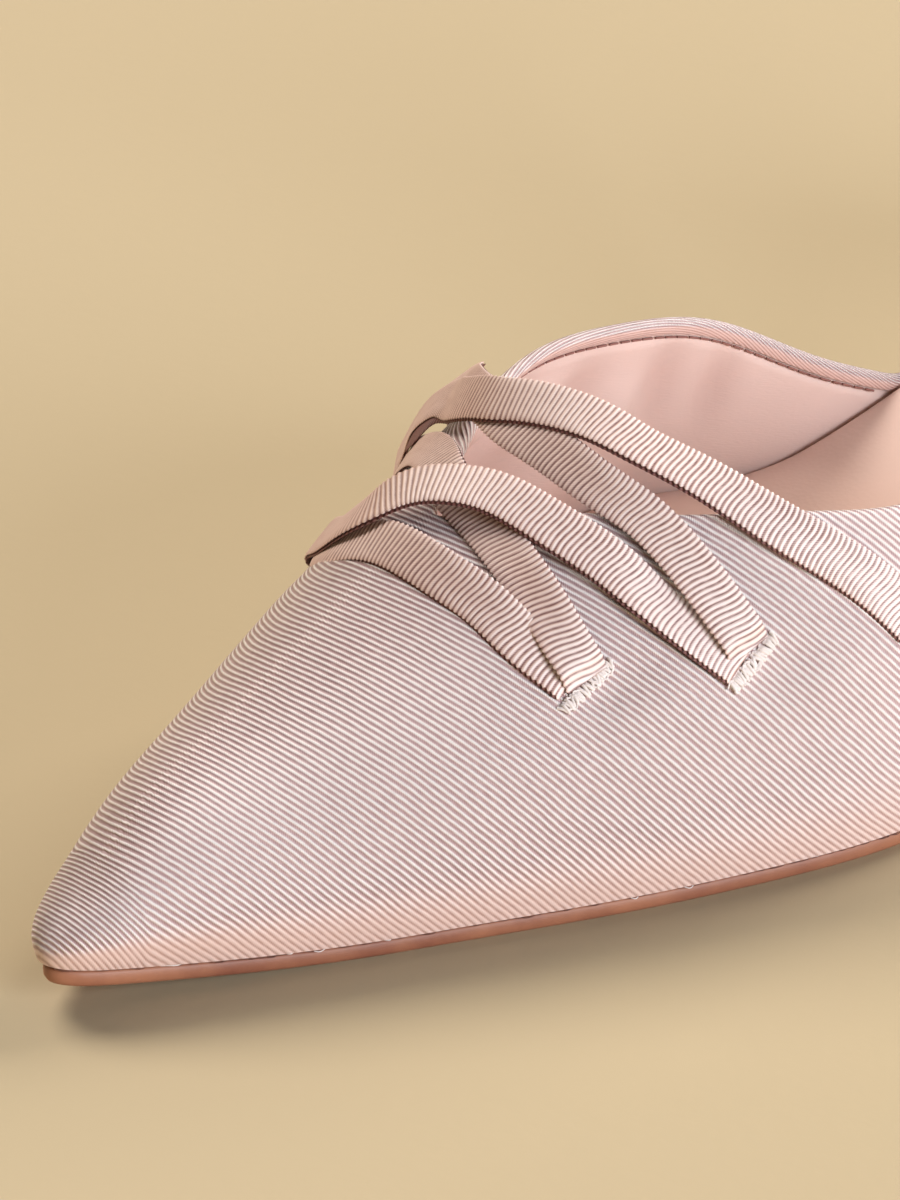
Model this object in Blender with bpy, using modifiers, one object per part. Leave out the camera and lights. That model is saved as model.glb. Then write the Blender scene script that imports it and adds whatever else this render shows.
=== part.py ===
"""Kitten heel slingback, left shoe, size 38.

A pointed vamp in ribbed cloth with a deep V throat, laced over by five
ribbons, cut away to the waist on both sides, on a thin sole and a low heel,
with one strap round the back of the foot.

The toe points along -Y, +X is the outer (lateral) side, the floor is z = 0.
Shapes are worked out in millimetres. "Station" is the distance back from the
toe tip, and "girth" runs over the last from 0 on the crown to +1 at the
lateral feather edge and -1 at the medial one.
"""

import bpy
import numpy as np

# Driving dimensions, in millimetres.
LENGTH = 252.0  # toe tip to the back of the seat
BALL_WIDTH = 73.8  # feather edge to feather edge over the joints
INSTEP = 38.4  # crown of the vamp at the point of the throat, above the floor
SEAT_RISE = 33.5  # floor to the underside of the sole at the seat
TOE_SPRING = 3.5  # floor to the underside of the sole at the toe tip
TREAD = (38.0, 94.0)  # stations where the sole lies flat on the floor
SEAT_START = 238.0  # station where the arch has levelled out
THROAT = 58.5  # station of the point of the throat
TAIL = {+1: 163.0, -1: 158.0}  # stations where the two sides of the upper end

SOLE = 2.2
INSOLE = 2.6
WALL = 1.6  # upper: cloth, stiffener and lining
GAP = 0.3  # between neighbouring pieces
SOLE_INSET = 0.6  # sole edge inside the feather edge
UPPER_FOOT = SOLE + GAP  # lower edge of the upper above the sole's underside

# Sections of the last: each side is one Bezier curve from the feather edge to
# the crown, whose controls stand off the wall and off the crown by these.
CROWN_SETBACK = 8.9  # how far behind the toe tip the crown line starts
BULGE = 3.1  # swell of the side wall
BULGE_SIDES = 0.2  # more on the lateral side, less on the medial
NOSE_TUCK = 1.2  # less swell right at the toe tip
NOSE = 6.0  # station where that tuck has faded
STEEPNESS = 0.525  # height of the wall's control, as a share of the rise
STEEPNESS_SIDES = 0.025  # less on the lateral side, more on the medial
FORE = 20.0  # station where the two sides differ fully
SHOULDER = 0.62  # reach of the crown's control, as a share of the half width

RIBBON_WIDTH = 6.0
RIBBON_THICK = 0.8
STRAP_WIDTH = 9.0
STRAP_THICK = 1.5
STRAP_RISE = 58.0  # seat to the middle of the strap, at the back of the foot
BREAST = 200.0  # station of the heel's front face at the seat
TOP_PIECE = 5.0

CENTRE_X = 2.64  # moves the finished shoe's box over the origin
CENTRE_Y = 125.73

# Feather edge: distance back as a share of LENGTH, half widths as shares of BALL_WIDTH.
OUTLINE = np.array(
    [
        (0.000, 0.000, 0.000),
        (0.012, 0.048, 0.051),
        (0.040, 0.088, 0.095),
        (0.099, 0.177, 0.184),
        (0.179, 0.302, 0.269),
        (0.246, 0.405, 0.351),
        (0.302, 0.475, 0.418),
        (0.357, 0.525, 0.460),
        (0.409, 0.533, 0.458),
        (0.468, 0.502, 0.412),
        (0.556, 0.434, 0.328),
        (0.643, 0.377, 0.279),
        (0.734, 0.350, 0.282),
        (0.825, 0.341, 0.316),
        (0.905, 0.331, 0.320),
        (0.956, 0.257, 0.257),
        (0.988, 0.144, 0.144),
        (1.000, 0.000, 0.000),
    ],
    dtype=[("back", float), ("lateral", float), ("medial", float)],
)

# Crown of the last: distance back as a share of LENGTH, height as a share of
# INSTEP, and how far the crown leans to the medial side as a share of BALL_WIDTH.
CROWN = np.array(
    [
        (0.028, 0.372, 0.000),
        (0.056, 0.510, 0.004),
        (0.103, 0.638, 0.010),
        (0.159, 0.792, 0.020),
        (0.238, 1.000, 0.034),
        (0.317, 1.237, 0.041),
        (0.397, 1.471, 0.041),
        (0.496, 1.745, 0.041),
        (0.635, 2.161, 0.041),
        (0.794, 2.604, 0.014),
    ],
    dtype=[("back", float), ("height", float), ("lean", float)],
)

# Topline: station, how far up each side of the last it lies (feather edge 0,
# crown 1), and how far the ribbons draw the medial edge inwards, in millimetres.
TOPLINE = np.array(
    [
        (58.5, 1.00, 1.00, 0.0),
        (61.5, 0.90, 0.94, 0.5),
        (65.0, 0.83, 0.85, 2.6),
        (69.0, 0.76, 0.77, 4.0),
        (77.5, 0.64, 0.65, 4.7),
        (88.0, 0.54, 0.545, 4.2),
        (98.5, 0.46, 0.475, 3.2),
        (113.0, 0.395, 0.38, 2.6),
        (128.0, 0.31, 0.27, 1.7),
        (143.0, 0.20, 0.125, 1.4),
        (153.0, 0.115, 0.045, 0.8),
        (158.0, 0.065, 0.015, 0.2),
        (163.0, 0.015, 0.015, 0.0),
    ],
    dtype=[("station", float), ("lateral", float), ("medial", float), ("drawn", float)],
)

# Ribbon middles from the medial slit to the lateral slit: station, girth, and
# how far the ribbon's underside stands off the cloth or the last, in millimetres.
RIBBONS = {
    "ribbon_toe_bar": [
        (66.1, -0.566, 0.35),
        (61.6, -0.457, 0.35),
        (57.5, -0.380, 0.35),
        (53.6, -0.299, 0.35),
        (52.6, -0.148, 0.35),
        (52.7, 0.008, 0.35),
        (53.4, 0.149, 0.35),
        (54.5, 0.270, 0.35),
        (55.9, 0.395, 0.35),
        (58.8, 0.517, 0.35),
    ],
    "ribbon_cross_1": [
        (83.4, -0.665, 0.40),
        (79.0, -0.574, 0.60),
        (74.2, -0.459, 0.90),
        (70.3, -0.319, 1.10),
        (66.7, -0.201, 1.00),
        (64.1, -0.090, 0.50),
        (62.0, 0.021, 0.35),
        (60.8, 0.111, 0.45),
        (59.5, 0.222, 1.30),
        (58.8, 0.342, 1.60),
        (58.5, 0.443, 1.60),
        (58.8, 0.517, 1.50),
    ],
    "ribbon_cross_2": [
        (65.5, -0.600, 1.50),
        (61.5, -0.530, 1.50),
        (57.8, -0.430, 1.50),
        (55.3, -0.312, 1.50),
        (55.8, -0.152, 1.90),
        (58.4, -0.059, 2.50),
        (60.9, 0.019, 2.60),
        (63.1, 0.103, 2.55),
        (65.0, 0.218, 2.35),
        (67.6, 0.340, 0.70),
        (69.8, 0.442, 0.35),
        (73.0, 0.540, 0.35),
        (76.3, 0.625, 0.35),
    ],
    "ribbon_cross_3": [
        (96.0, -0.690, 0.35),
        (90.0, -0.570, 0.90),
        (83.7, -0.420, 1.00),
        (77.8, -0.275, 0.80),
        (74.1, -0.125, 0.40),
        (72.0, 0.000, 0.35),
        (71.7, 0.110, 0.45),
        (72.0, 0.214, 0.60),
        (73.1, 0.307, 1.40),
        (74.0, 0.413, 1.60),
        (74.9, 0.538, 1.60),
        (75.8, 0.612, 1.50),
    ],
    "ribbon_top_bar": [
        (83.8, -0.690, 1.90),
        (83.4, -0.593, 2.30),
        (80.8, -0.490, 2.60),
        (78.5, -0.366, 2.70),
        (76.0, -0.270, 2.50),
        (74.4, -0.163, 2.20),
        (73.8, -0.053, 2.10),
        (75.1, 0.043, 2.10),
        (76.9, 0.147, 2.00),
        (78.1, 0.226, 1.80),
        (81.3, 0.343, 1.30),
        (85.3, 0.462, 0.90),
        (91.0, 0.583, 0.50),
        (96.6, 0.710, 0.35),
    ],
}

# Heel block between its foot (0) and the seat (1): stations of its front and
# back, and its half width in millimetres. At the seat it takes the outline.
HEEL = np.array(
    [
        (0.00, 230.0, 244.5, 6.8),
        (0.16, 229.6, 244.9, 7.0),
        (0.38, 227.2, 246.3, 8.4),
        (0.58, 223.2, 248.0, 10.8),
        (0.76, 217.0, 249.8, 14.8),
        (0.90, 208.4, 251.0, 19.8),
    ],
    dtype=[("up", float), ("front", float), ("back", float), ("half", float)],
)

# Sling strap, the same on both sides: station, half width of the loop, and
# height above the bed of the shoe, in millimetres.
STRAP = np.array(
    [
        (166.5, 26.8, 20.2, 7.0),
        (171.0, 27.2, 20.7, 10.8),
        (182.0, 29.0, 23.5, 19.5),
        (198.0, 30.6, 27.2, 30.5),
        (216.0, 29.6, 28.2, 42.5),
        (232.0, 24.6, 24.2, 51.5),
        (243.0, 16.4, 16.4, 56.3),
        (248.6, 7.0, 7.0, STRAP_RISE),
    ],
    dtype=[("station", float), ("lateral", float), ("medial", float), ("rise", float)],
)


def curve(xs, ys):
    """A natural cubic spline through the points, as a function."""
    xs = np.asarray(xs, float)
    ys = np.asarray(ys, float)
    step = np.diff(xs)
    count = len(xs)
    rows = np.eye(count)
    right = np.zeros(count)
    for i in range(1, count - 1):
        rows[i, i - 1 : i + 2] = step[i - 1], 2 * (step[i - 1] + step[i]), step[i]
        right[i] = 6 * ((ys[i + 1] - ys[i]) / step[i] - (ys[i] - ys[i - 1]) / step[i - 1])
    bend = np.linalg.solve(rows, right)

    def value(x):
        k = np.clip(np.searchsorted(xs, x) - 1, 0, count - 2)
        h = step[k]
        a = (xs[k + 1] - x) / h
        b = (x - xs[k]) / h
        cubic = ((a**3 - a) * bend[k] + (b**3 - b) * bend[k + 1]) * h * h / 6
        return a * ys[k] + b * ys[k + 1] + cubic

    return value


def round_ends(station):
    """Angle that runs evenly round both ends of the outline, so they close round."""
    return np.arccos(1 - 2 * np.clip(np.asarray(station, float) / LENGTH, 0, 1))


def smooth_step(t):
    t = np.clip(t, 0, 1)
    return t * t * (3 - 2 * t)


_angle = round_ends(OUTLINE["back"] * LENGTH)
_half = {
    +1: curve(_angle, OUTLINE["lateral"] * BALL_WIDTH),
    -1: curve(_angle, OUTLINE["medial"] * BALL_WIDTH),
}
crown_height = curve(CROWN["back"] * LENGTH, CROWN["height"] * INSTEP)
crown_lean = curve(CROWN["back"] * LENGTH, -CROWN["lean"] * BALL_WIDTH)
_open = np.sqrt(TOPLINE["station"] - THROAT)
_topline = {+1: curve(_open, TOPLINE["lateral"]), -1: curve(_open, TOPLINE["medial"])}
_drawn = curve(_open, TOPLINE["drawn"])


def half_width(station, side):
    return _half[side](round_ends(station))


def clearance(station):
    """Height of the sole's underside: toe spring, flat tread, arch and seat."""
    spring = TOE_SPRING * np.clip(1 - station / TREAD[0], 0, 1) ** 2
    arch = SEAT_RISE * smooth_step((station - TREAD[1]) / (SEAT_START - TREAD[1]))
    return spring + arch


def outline_normal(station, side):
    """Unit vector in plan, out of the feather edge."""
    before = max(station - 0.4, 0.0)
    after = min(station + 0.4, LENGTH)
    run = after - before
    rise = float(half_width(after, side) - half_width(before, side))
    normal = np.array([side * run, -rise])
    return normal / np.linalg.norm(normal)


def feather(station, side, inset=0.0, up=0.0):
    """Point on the feather edge, moved in by inset and up from the sole's underside."""
    edge = np.array([side * float(half_width(station, side)), station])
    if station < 0.01 or station > LENGTH - 0.01:
        normal = np.array([0.0, -1.0 if station < 1 else 1.0])
    else:
        normal = outline_normal(station, side)
    flat = edge - inset * normal
    return np.array([flat[0], flat[1], float(clearance(flat[1])) + up])


def topline_at(station, side):
    """How far up the side of the last the upper reaches: 1 on the vamp."""
    if station <= THROAT:
        return 1.0
    return float(np.clip(_topline[side](np.sqrt(station - THROAT)), 0.012, 1.0))


def drawn_at(station, side, up):
    """How far the cloth is drawn inwards from the last at this height on the side."""
    if side > 0 or station <= THROAT:
        return 0.0
    edge = topline_at(station, side)
    most = max(float(_drawn(np.sqrt(min(station, TAIL[side]) - THROAT))), 0.0)
    if up <= edge:
        return most * (up / edge) ** 2
    return most * (1 - up) / (1 - edge)


def last_point(station, side, up, cloth=True):
    """Point of the last on the section at this station, up from the feather edge to the crown."""
    foot = feather(station, side, up=UPPER_FOOT)
    crown_station = np.hypot(station, CROWN_SETBACK)
    crown = np.array(
        [
            float(crown_lean(crown_station)),
            crown_station,
            float(crown_height(crown_station)),
        ]
    )
    slope = float(crown_height(crown_station + 0.5) - crown_height(crown_station - 0.5))
    rise = crown[2] - foot[2]
    differ = side * min(station / FORE, 1.0)
    bulge = BULGE + BULGE_SIDES * differ - NOSE_TUCK * max(1 - station / NOSE, 0.0)
    steep = STEEPNESS - STEEPNESS_SIDES * differ
    if station < 0.01:
        out = np.array([0.0, -1.0])
    else:
        out = outline_normal(station, side)
    wall = foot + np.array([out[0] * bulge, out[1] * bulge, steep * rise])
    across = foot[:2] - crown[:2]
    shoulder = crown + SHOULDER * np.array([across[0], across[1], slope * across[1]])
    down = 1 - up
    point = (
        down**3 * foot
        + 3 * down * down * up * wall
        + 3 * down * up * up * shoulder
        + up**3 * crown
    )
    if cloth:
        point[0] += drawn_at(station, side, up)
    return point


def over_last(station, girth):
    """Point and outward normal over the last, at a girth from -1 (medial) to +1."""

    def at(s, g):
        return last_point(s, 1 if g >= 0 else -1, 1 - abs(g))

    along = at(station + 0.6, girth) - at(station - 0.6, girth)
    round_it = at(station, girth + 0.02) - at(station, girth - 0.02)
    normal = np.cross(round_it, along)
    return at(station, girth), normal / np.linalg.norm(normal)


def new_object(name, points, faces, colour, roughness):
    """One body from points in millimetres, placed with the shoe's box over the origin."""
    points = (np.asarray(points) - (CENTRE_X, CENTRE_Y, 0.0)) / 1000
    mesh = bpy.data.meshes.new(name)
    mesh.from_pydata([tuple(p) for p in points], [], faces)
    mesh.validate()
    material = bpy.data.materials.new(name)
    material.use_nodes = True
    shader = material.node_tree.nodes["Principled BSDF"]
    shader.inputs["Base Color"].default_value = (*colour, 1)
    shader.inputs["Roughness"].default_value = roughness
    mesh.materials.append(material)
    body = bpy.data.objects.new(name, mesh)
    parts.objects.link(body)
    return body


def tube(rings):
    """Points and quads of a solid through rings of equal length, with flat ends.
    Each ring runs anticlockwise as seen from the first one."""
    count = len(rings)
    size = len(rings[0])
    points = [p for ring in rings for p in ring]
    faces = []
    for i in range(count - 1):
        here = i * size
        there = here + size
        for j in range(size):
            k = (j + 1) % size
            faces.append((here + j, there + j, there + k, here + k))
    faces.append(tuple(range(size)))
    faces.append(tuple((count - 1) * size + j for j in reversed(range(size))))
    return points, faces


def plate(stations, inset, low, high):
    """A thin plate with the shoe's outline: inset(station) in from the feather
    edge, between low and high above the sole's underside."""
    across = np.array([-1.0, -0.5, 0.0, 0.5, 1.0])
    rings = []
    for station in stations:
        left = feather(station, -1, inset(station))
        right = feather(station, +1, inset(station))
        row = [left + (right - left) * (a + 1) / 2 for a in across]
        bottom = [np.array([p[0], p[1], float(clearance(p[1])) + low]) for p in row]
        top = [p + np.array([0.0, 0.0, high - low]) for p in reversed(bottom)]
        rings.append(bottom + top)
    return tube(rings)


def make_outsole():
    """Thin sole from the toe to the breast of the heel, flat under the tread."""
    bend = np.linspace(TREAD[0], 3.0, 15)[1:-1]
    stations = np.concatenate(
        [
            [1.4, 2.2],
            bend[::-1],
            np.linspace(*TREAD, 12),
            np.linspace(TREAD[1], BREAST - GAP, 26)[1:],
        ]
    )
    points, faces = plate(stations, lambda s: SOLE_INSET, 0.0, SOLE)
    return new_object("outsole", points, faces, (0.42, 0.16, 0.08), 0.55)


def make_insole():
    """Board and sock. Inside the upper it fits between the walls; behind the
    strap ends it widens to the whole outline and carries the heel."""

    def inset(station):
        inner = WALL + 2 * GAP
        return inner - (inner - 0.1) * float(smooth_step((station - 171.0) / 8.0))

    fore = 2.6 + 169.0 * np.linspace(0, 1, 40) ** 1.15
    rear = np.linspace(174.0, LENGTH - 8.0, 17)
    close = LENGTH - 8.0 * np.cos(np.linspace(0, 1, 8)[1:] * np.pi / 2)
    stations = np.concatenate([fore, rear, close[:-1], [LENGTH - 0.05]])
    points, faces = plate(stations, inset, SOLE + GAP, SOLE + GAP + INSOLE)
    return new_object("insole", points, faces, (0.63, 0.36, 0.28), 0.6)


def make_upper():
    """The lasted vamp: one sheet over the sections of the last, ended at the
    topline, then thickened inwards. The crown edge joins its two sides."""
    columns = 15
    vamp = THROAT * np.linspace(0, 1, 19) ** 1.6
    points = []
    index = {}
    faces = []

    def vertex(side, row, column, station, up):
        on_crown = column == columns and station <= THROAT
        key = (0 if on_crown or row == 0 else side, row, column)
        if key not in index:
            index[key] = len(points)
            points.append(last_point(station, side, up))
        return index[key]

    for side in (+1, -1):
        wing = THROAT + (TAIL[side] - THROAT) * np.linspace(0, 1, 27)[1:] ** 1.35
        stations = np.concatenate([vamp, wing])
        grid = [
            [
                vertex(side, i, j, s, topline_at(s, side) * j / columns)
                for j in range(columns + 1)
            ]
            for i, s in enumerate(stations)
        ]
        for i in range(len(grid) - 1):
            for j in range(columns):
                face = (grid[i][j], grid[i + 1][j], grid[i + 1][j + 1], grid[i][j + 1])
                faces.append(face if side > 0 else tuple(reversed(face)))
    body = new_object("upper", points, faces, (0.74, 0.58, 0.54), 0.7)
    wall = body.modifiers.new("wall", "SOLIDIFY")
    wall.thickness = WALL / 1000
    wall.offset = -1.0
    wall.use_even_offset = True
    return body


def make_ribbon(name, rows):
    """A flat ribbon laid over the last along its row of points."""
    table = np.array(rows)
    steps = np.arange(len(table))
    station, girth, stand = (curve(steps, table[:, k]) for k in range(3))
    samples = np.linspace(0, len(table) - 1, 5 * (len(table) - 1) + 1)
    middle = []
    normals = []
    for t in samples:
        point, normal = over_last(float(station(t)), float(girth(t)))
        lift = max(float(stand(t)), 0.33) + RIBBON_THICK / 2
        middle.append(point + normal * lift)
        normals.append(normal)
    middle = np.array(middle)
    tangents = np.gradient(middle, axis=0)
    rings = []
    for point, tangent, normal in zip(middle, tangents, normals):
        across = np.cross(tangent, normal)
        across = across / np.linalg.norm(across) * RIBBON_WIDTH / 2
        lift = normal * RIBBON_THICK / 2
        rings.append(
            [
                point - across - lift,
                point + across - lift,
                point + across + lift,
                point - across + lift,
            ]
        )
    points, faces = tube(rings)
    return new_object(name, points, faces, (0.58, 0.40, 0.36), 0.7)


def make_strap():
    """The sling: one band from tail to tail of the upper, round the back of the foot."""
    lateral = np.stack([STRAP["lateral"], STRAP["station"], STRAP["rise"]], 1)
    medial = np.stack([-STRAP["medial"], STRAP["station"], STRAP["rise"]], 1)
    back = np.array([[0.0, 250.2, STRAP_RISE + 0.3]])
    knots = np.concatenate([lateral, back, medial[::-1]])
    knots[:, 2] += [float(clearance(min(s, 200.0))) for s in knots[:, 1]]
    seat = float(clearance(SEAT_START)) - float(clearance(200.0))
    knots[:, 2] += seat * smooth_step((knots[:, 1] - 180.0) / 60.0)
    steps = np.concatenate([[0], np.cumsum(np.linalg.norm(np.diff(knots, axis=0), axis=1))])
    x, y, z = (curve(steps, knots[:, k]) for k in range(3))
    samples = np.linspace(0, steps[-1], 73)
    path = np.stack([x(samples), y(samples), z(samples)], 1)
    tangents = np.gradient(path, axis=0)
    rings = []
    for point, tangent in zip(path, tangents):
        tangent = tangent / np.linalg.norm(tangent)
        out = np.cross(tangent, (0.0, 0.0, 1.0))
        out = -out / np.linalg.norm(out)
        across = np.cross(tangent, out)
        across = across / np.linalg.norm(across)
        out = out * STRAP_THICK / 2
        across = across * STRAP_WIDTH / 2
        rings.append(
            [
                point - across - out,
                point + across - out,
                point + across + out,
                point - across + out,
            ]
        )
    points, faces = tube(rings)
    return new_object("sling_strap", points, faces, (0.74, 0.58, 0.54), 0.7)


def heel_ring(front, back, half, height):
    """A section of the heel: straight breast in front, round behind."""
    turn = np.linspace(-np.pi / 2, np.pi / 2, 25)
    squarish = 0.86
    xs = half * np.sign(np.sin(turn)) * np.abs(np.sin(turn)) ** squarish
    ys = front + (back - front) * np.cos(turn) ** squarish
    return [np.array([a, b, height]) for a, b in zip(xs, ys)]


def make_heel():
    """Low covered heel: it takes the outline at the seat and narrows to its foot."""
    foot = TOP_PIECE + GAP
    rings = []
    turn = np.linspace(-np.pi / 2, np.pi / 2, 25)
    seat = []
    for angle in turn:
        station = BREAST + (LENGTH - BREAST - 0.3) * np.cos(angle)
        side = 1 if angle >= 0 else -1
        point = feather(min(station, LENGTH - 0.3), side, 0.3)
        seat.append(np.array([point[0], point[1], float(clearance(point[1])) + SOLE]))
    seat[12] = np.array([0.0, LENGTH - 0.4, float(clearance(LENGTH)) + SOLE])
    for row in HEEL:
        ring = heel_ring(row["front"], row["back"], row["half"], 0.0)
        for point, top in zip(ring, seat):
            point[2] = foot + (top[2] - foot) * row["up"]
        rings.append(ring)
    rings.append(seat)
    points, faces = tube(rings)
    return new_object("heel", points, faces, (0.74, 0.58, 0.54), 0.7)


def make_top_piece():
    """Hard-wearing tip under the heel, a shade larger than the heel's foot."""
    foot = HEEL[0]
    rings = [
        heel_ring(foot["front"] - 0.2, foot["back"] + 0.2, foot["half"] + 0.2, z)
        for z in (0.0, TOP_PIECE)
    ]
    points, faces = tube(rings)
    return new_object("top_piece", points, faces, (0.30, 0.18, 0.14), 0.5)


for old in list(bpy.data.objects):
    bpy.data.objects.remove(old)
parts = bpy.data.collections.new("kitten_heel_slingback")
bpy.context.scene.collection.children.link(parts)

make_outsole()
make_insole()
make_upper()
for ribbon_name, ribbon_rows in RIBBONS.items():
    make_ribbon(ribbon_name, ribbon_rows)
make_strap()
make_heel()
make_top_piece()
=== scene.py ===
"""Kitten heel slingback, left shoe: its looks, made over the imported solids.

Shapes are worked out in millimetres in the last maker's terms. "Station" is the
distance back from the toe tip, "up" runs over the last from 0 on the feather
edge to 1 on the crown, and "girth" from 0 on the crown to +1 on the lateral
feather edge and -1 on the medial one. The toe points along -Y.
"""

import math

import bpy
import numpy as np
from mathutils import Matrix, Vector


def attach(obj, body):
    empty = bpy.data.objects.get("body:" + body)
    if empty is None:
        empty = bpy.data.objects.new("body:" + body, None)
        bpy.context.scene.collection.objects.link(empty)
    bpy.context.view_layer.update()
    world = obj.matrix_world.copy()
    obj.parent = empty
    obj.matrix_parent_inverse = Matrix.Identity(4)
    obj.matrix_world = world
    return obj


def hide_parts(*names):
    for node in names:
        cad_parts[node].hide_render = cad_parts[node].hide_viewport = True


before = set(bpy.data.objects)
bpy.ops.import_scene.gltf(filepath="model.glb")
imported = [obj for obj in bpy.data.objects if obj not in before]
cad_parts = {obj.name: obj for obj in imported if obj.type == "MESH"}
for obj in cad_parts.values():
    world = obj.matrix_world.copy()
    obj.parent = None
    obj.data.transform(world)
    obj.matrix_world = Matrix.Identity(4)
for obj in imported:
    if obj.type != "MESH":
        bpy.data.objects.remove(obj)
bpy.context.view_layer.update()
for startup in [o for o in bpy.data.objects if o.type in ("LIGHT", "CAMERA")]:
    bpy.data.objects.remove(startup)
rng = np.random.default_rng(11)

# ---- Vamp ------------------------------------------------------------------
# The pointed upper: one piece of faille, a ribbed cotton and viscose cloth, wiped
# over the last with its ribs running across, turned over at the topline and
# drawn under at the feather edge.
LENGTH = 252.0
BALL_WIDTH = 73.8
INSTEP = 38.4
SEAT_RISE = 33.5
TOE_SPRING = 3.5
TREAD = (38.0, 94.0)  # stations between which the sole lies on the ground
SEAT_START = 238.0
THROAT = 58.5
TAIL = {+1: 163.0, -1: 158.0}  # station where the topline ends on each side
SOLE = 2.2
GAP = 0.3
WALL = 1.6
CROWN_SETBACK = 8.9  # station where the crown line starts, over the nose
BULGE = 3.1  # how far the wall swells past the feather edge, and how that differs by side
BULGE_SIDES = 0.2
NOSE_TUCK = 1.2  # how much less it swells at the tip, over this length
NOSE = 6.0
STEEPNESS = 0.525  # how high the wall stands before it turns over, as a share of the crown
STEEPNESS_SIDES = 0.025
FORE = 20.0  # station by which the two sides have come to differ
SHOULDER = 0.62  # how far the top of each side runs out flat, as a share of its width
CENTRE = np.array([2.64, 125.73, 0.0])  # puts the shoe's box over the origin

# Feather edge: distance back as a share of LENGTH, half widths as shares of BALL_WIDTH.
OUTLINE = np.array(
    [
        (0.000, 0.000, 0.000),
        (0.012, 0.048, 0.051),
        (0.040, 0.088, 0.095),
        (0.099, 0.177, 0.184),
        (0.179, 0.302, 0.269),
        (0.246, 0.405, 0.351),
        (0.302, 0.475, 0.418),
        (0.357, 0.525, 0.460),
        (0.409, 0.533, 0.458),
        (0.468, 0.502, 0.412),
        (0.556, 0.434, 0.328),
        (0.643, 0.377, 0.279),
        (0.734, 0.350, 0.282),
        (0.825, 0.341, 0.316),
        (0.905, 0.331, 0.320),
        (0.956, 0.257, 0.257),
        (0.988, 0.144, 0.144),
        (1.000, 0.000, 0.000),
    ],
    dtype=[("back", float), ("lateral", float), ("medial", float)],
)
# Crown: distance back as a share of LENGTH, height as a share of INSTEP, and
# lean to the medial side as a share of BALL_WIDTH.
CROWN = np.array(
    [
        (0.028, 0.372, 0.000),
        (0.056, 0.510, 0.004),
        (0.103, 0.638, 0.010),
        (0.159, 0.792, 0.020),
        (0.238, 1.000, 0.034),
        (0.317, 1.237, 0.041),
        (0.397, 1.471, 0.041),
        (0.496, 1.745, 0.041),
        (0.635, 2.161, 0.041),
        (0.794, 2.604, 0.014),
    ],
    dtype=[("back", float), ("height", float), ("lean", float)],
)
# Topline: station, how far up each side it lies, and how far the ribbons draw
# the medial edge inwards, in millimetres.
TOPLINE = np.array(
    [
        (58.5, 1.00, 1.00, 0.0),
        (61.5, 0.90, 0.94, 0.5),
        (65.0, 0.83, 0.85, 2.6),
        (69.0, 0.76, 0.77, 4.0),
        (77.5, 0.64, 0.65, 4.7),
        (88.0, 0.54, 0.545, 4.2),
        (98.5, 0.46, 0.475, 3.2),
        (113.0, 0.395, 0.38, 2.6),
        (128.0, 0.31, 0.27, 1.7),
        (143.0, 0.20, 0.125, 1.4),
        (153.0, 0.115, 0.045, 0.8),
        (158.0, 0.065, 0.015, 0.2),
        (163.0, 0.015, 0.015, 0.0),
    ],
    dtype=[("station", float), ("lateral", float), ("medial", float), ("drawn", float)],
)


def curve(xs, ys):
    """A natural cubic spline through the points, as a function."""
    xs = np.asarray(xs, float)
    ys = np.asarray(ys, float)
    step = np.diff(xs)
    count = len(xs)
    rows = np.eye(count)
    right = np.zeros(count)
    for i in range(1, count - 1):
        rows[i, i - 1 : i + 2] = step[i - 1], 2 * (step[i - 1] + step[i]), step[i]
        right[i] = 6 * ((ys[i + 1] - ys[i]) / step[i] - (ys[i] - ys[i - 1]) / step[i - 1])
    bend = np.linalg.solve(rows, right)

    def value(x):
        k = np.clip(np.searchsorted(xs, x) - 1, 0, count - 2)
        h = step[k]
        a = (xs[k + 1] - x) / h
        b = (x - xs[k]) / h
        cubic = ((a**3 - a) * bend[k] + (b**3 - b) * bend[k + 1]) * h * h / 6
        return a * ys[k] + b * ys[k + 1] + cubic

    return value


def unit(vectors):
    return vectors / np.linalg.norm(vectors, axis=-1, keepdims=True)


def round_ends(station):
    """Angle that runs evenly round both ends of the outline, so they close round."""
    return np.arccos(1 - 2 * np.clip(station / LENGTH, 0, 1))


def smooth_step(t):
    t = np.clip(t, 0, 1)
    return t * t * (3 - 2 * t)


around = round_ends(OUTLINE["back"] * LENGTH)
lateral_half = curve(around, OUTLINE["lateral"] * BALL_WIDTH)
medial_half = curve(around, OUTLINE["medial"] * BALL_WIDTH)
crown_height = curve(CROWN["back"] * LENGTH, CROWN["height"] * INSTEP)
crown_lean = curve(CROWN["back"] * LENGTH, -CROWN["lean"] * BALL_WIDTH)
opened = np.sqrt(TOPLINE["station"] - THROAT)
lateral_topline = curve(opened, TOPLINE["lateral"])
medial_topline = curve(opened, TOPLINE["medial"])
drawn_in = curve(opened, TOPLINE["drawn"])


def half_width(station, side):
    angle = round_ends(station)
    return np.where(side > 0, lateral_half(angle), medial_half(angle))


def clearance(station):
    """Height of the sole's underside: toe spring, flat tread, arch and seat."""
    spring = TOE_SPRING * np.clip(1 - station / TREAD[0], 0, 1) ** 2
    return spring + SEAT_RISE * smooth_step((station - TREAD[1]) / (SEAT_START - TREAD[1]))


def outline_normal(station, side):
    """Unit vector in plan, out of the feather edge."""
    before = np.maximum(station - 0.4, 0.0)
    after = np.minimum(station + 0.4, LENGTH)
    rise = half_width(after, side) - half_width(before, side)
    normal = unit(np.stack([side * (after - before), -rise], -1))
    normal[station < 0.01] = (0.0, -1.0)
    normal[station > LENGTH - 0.01] = (0.0, 1.0)
    return normal


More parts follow.
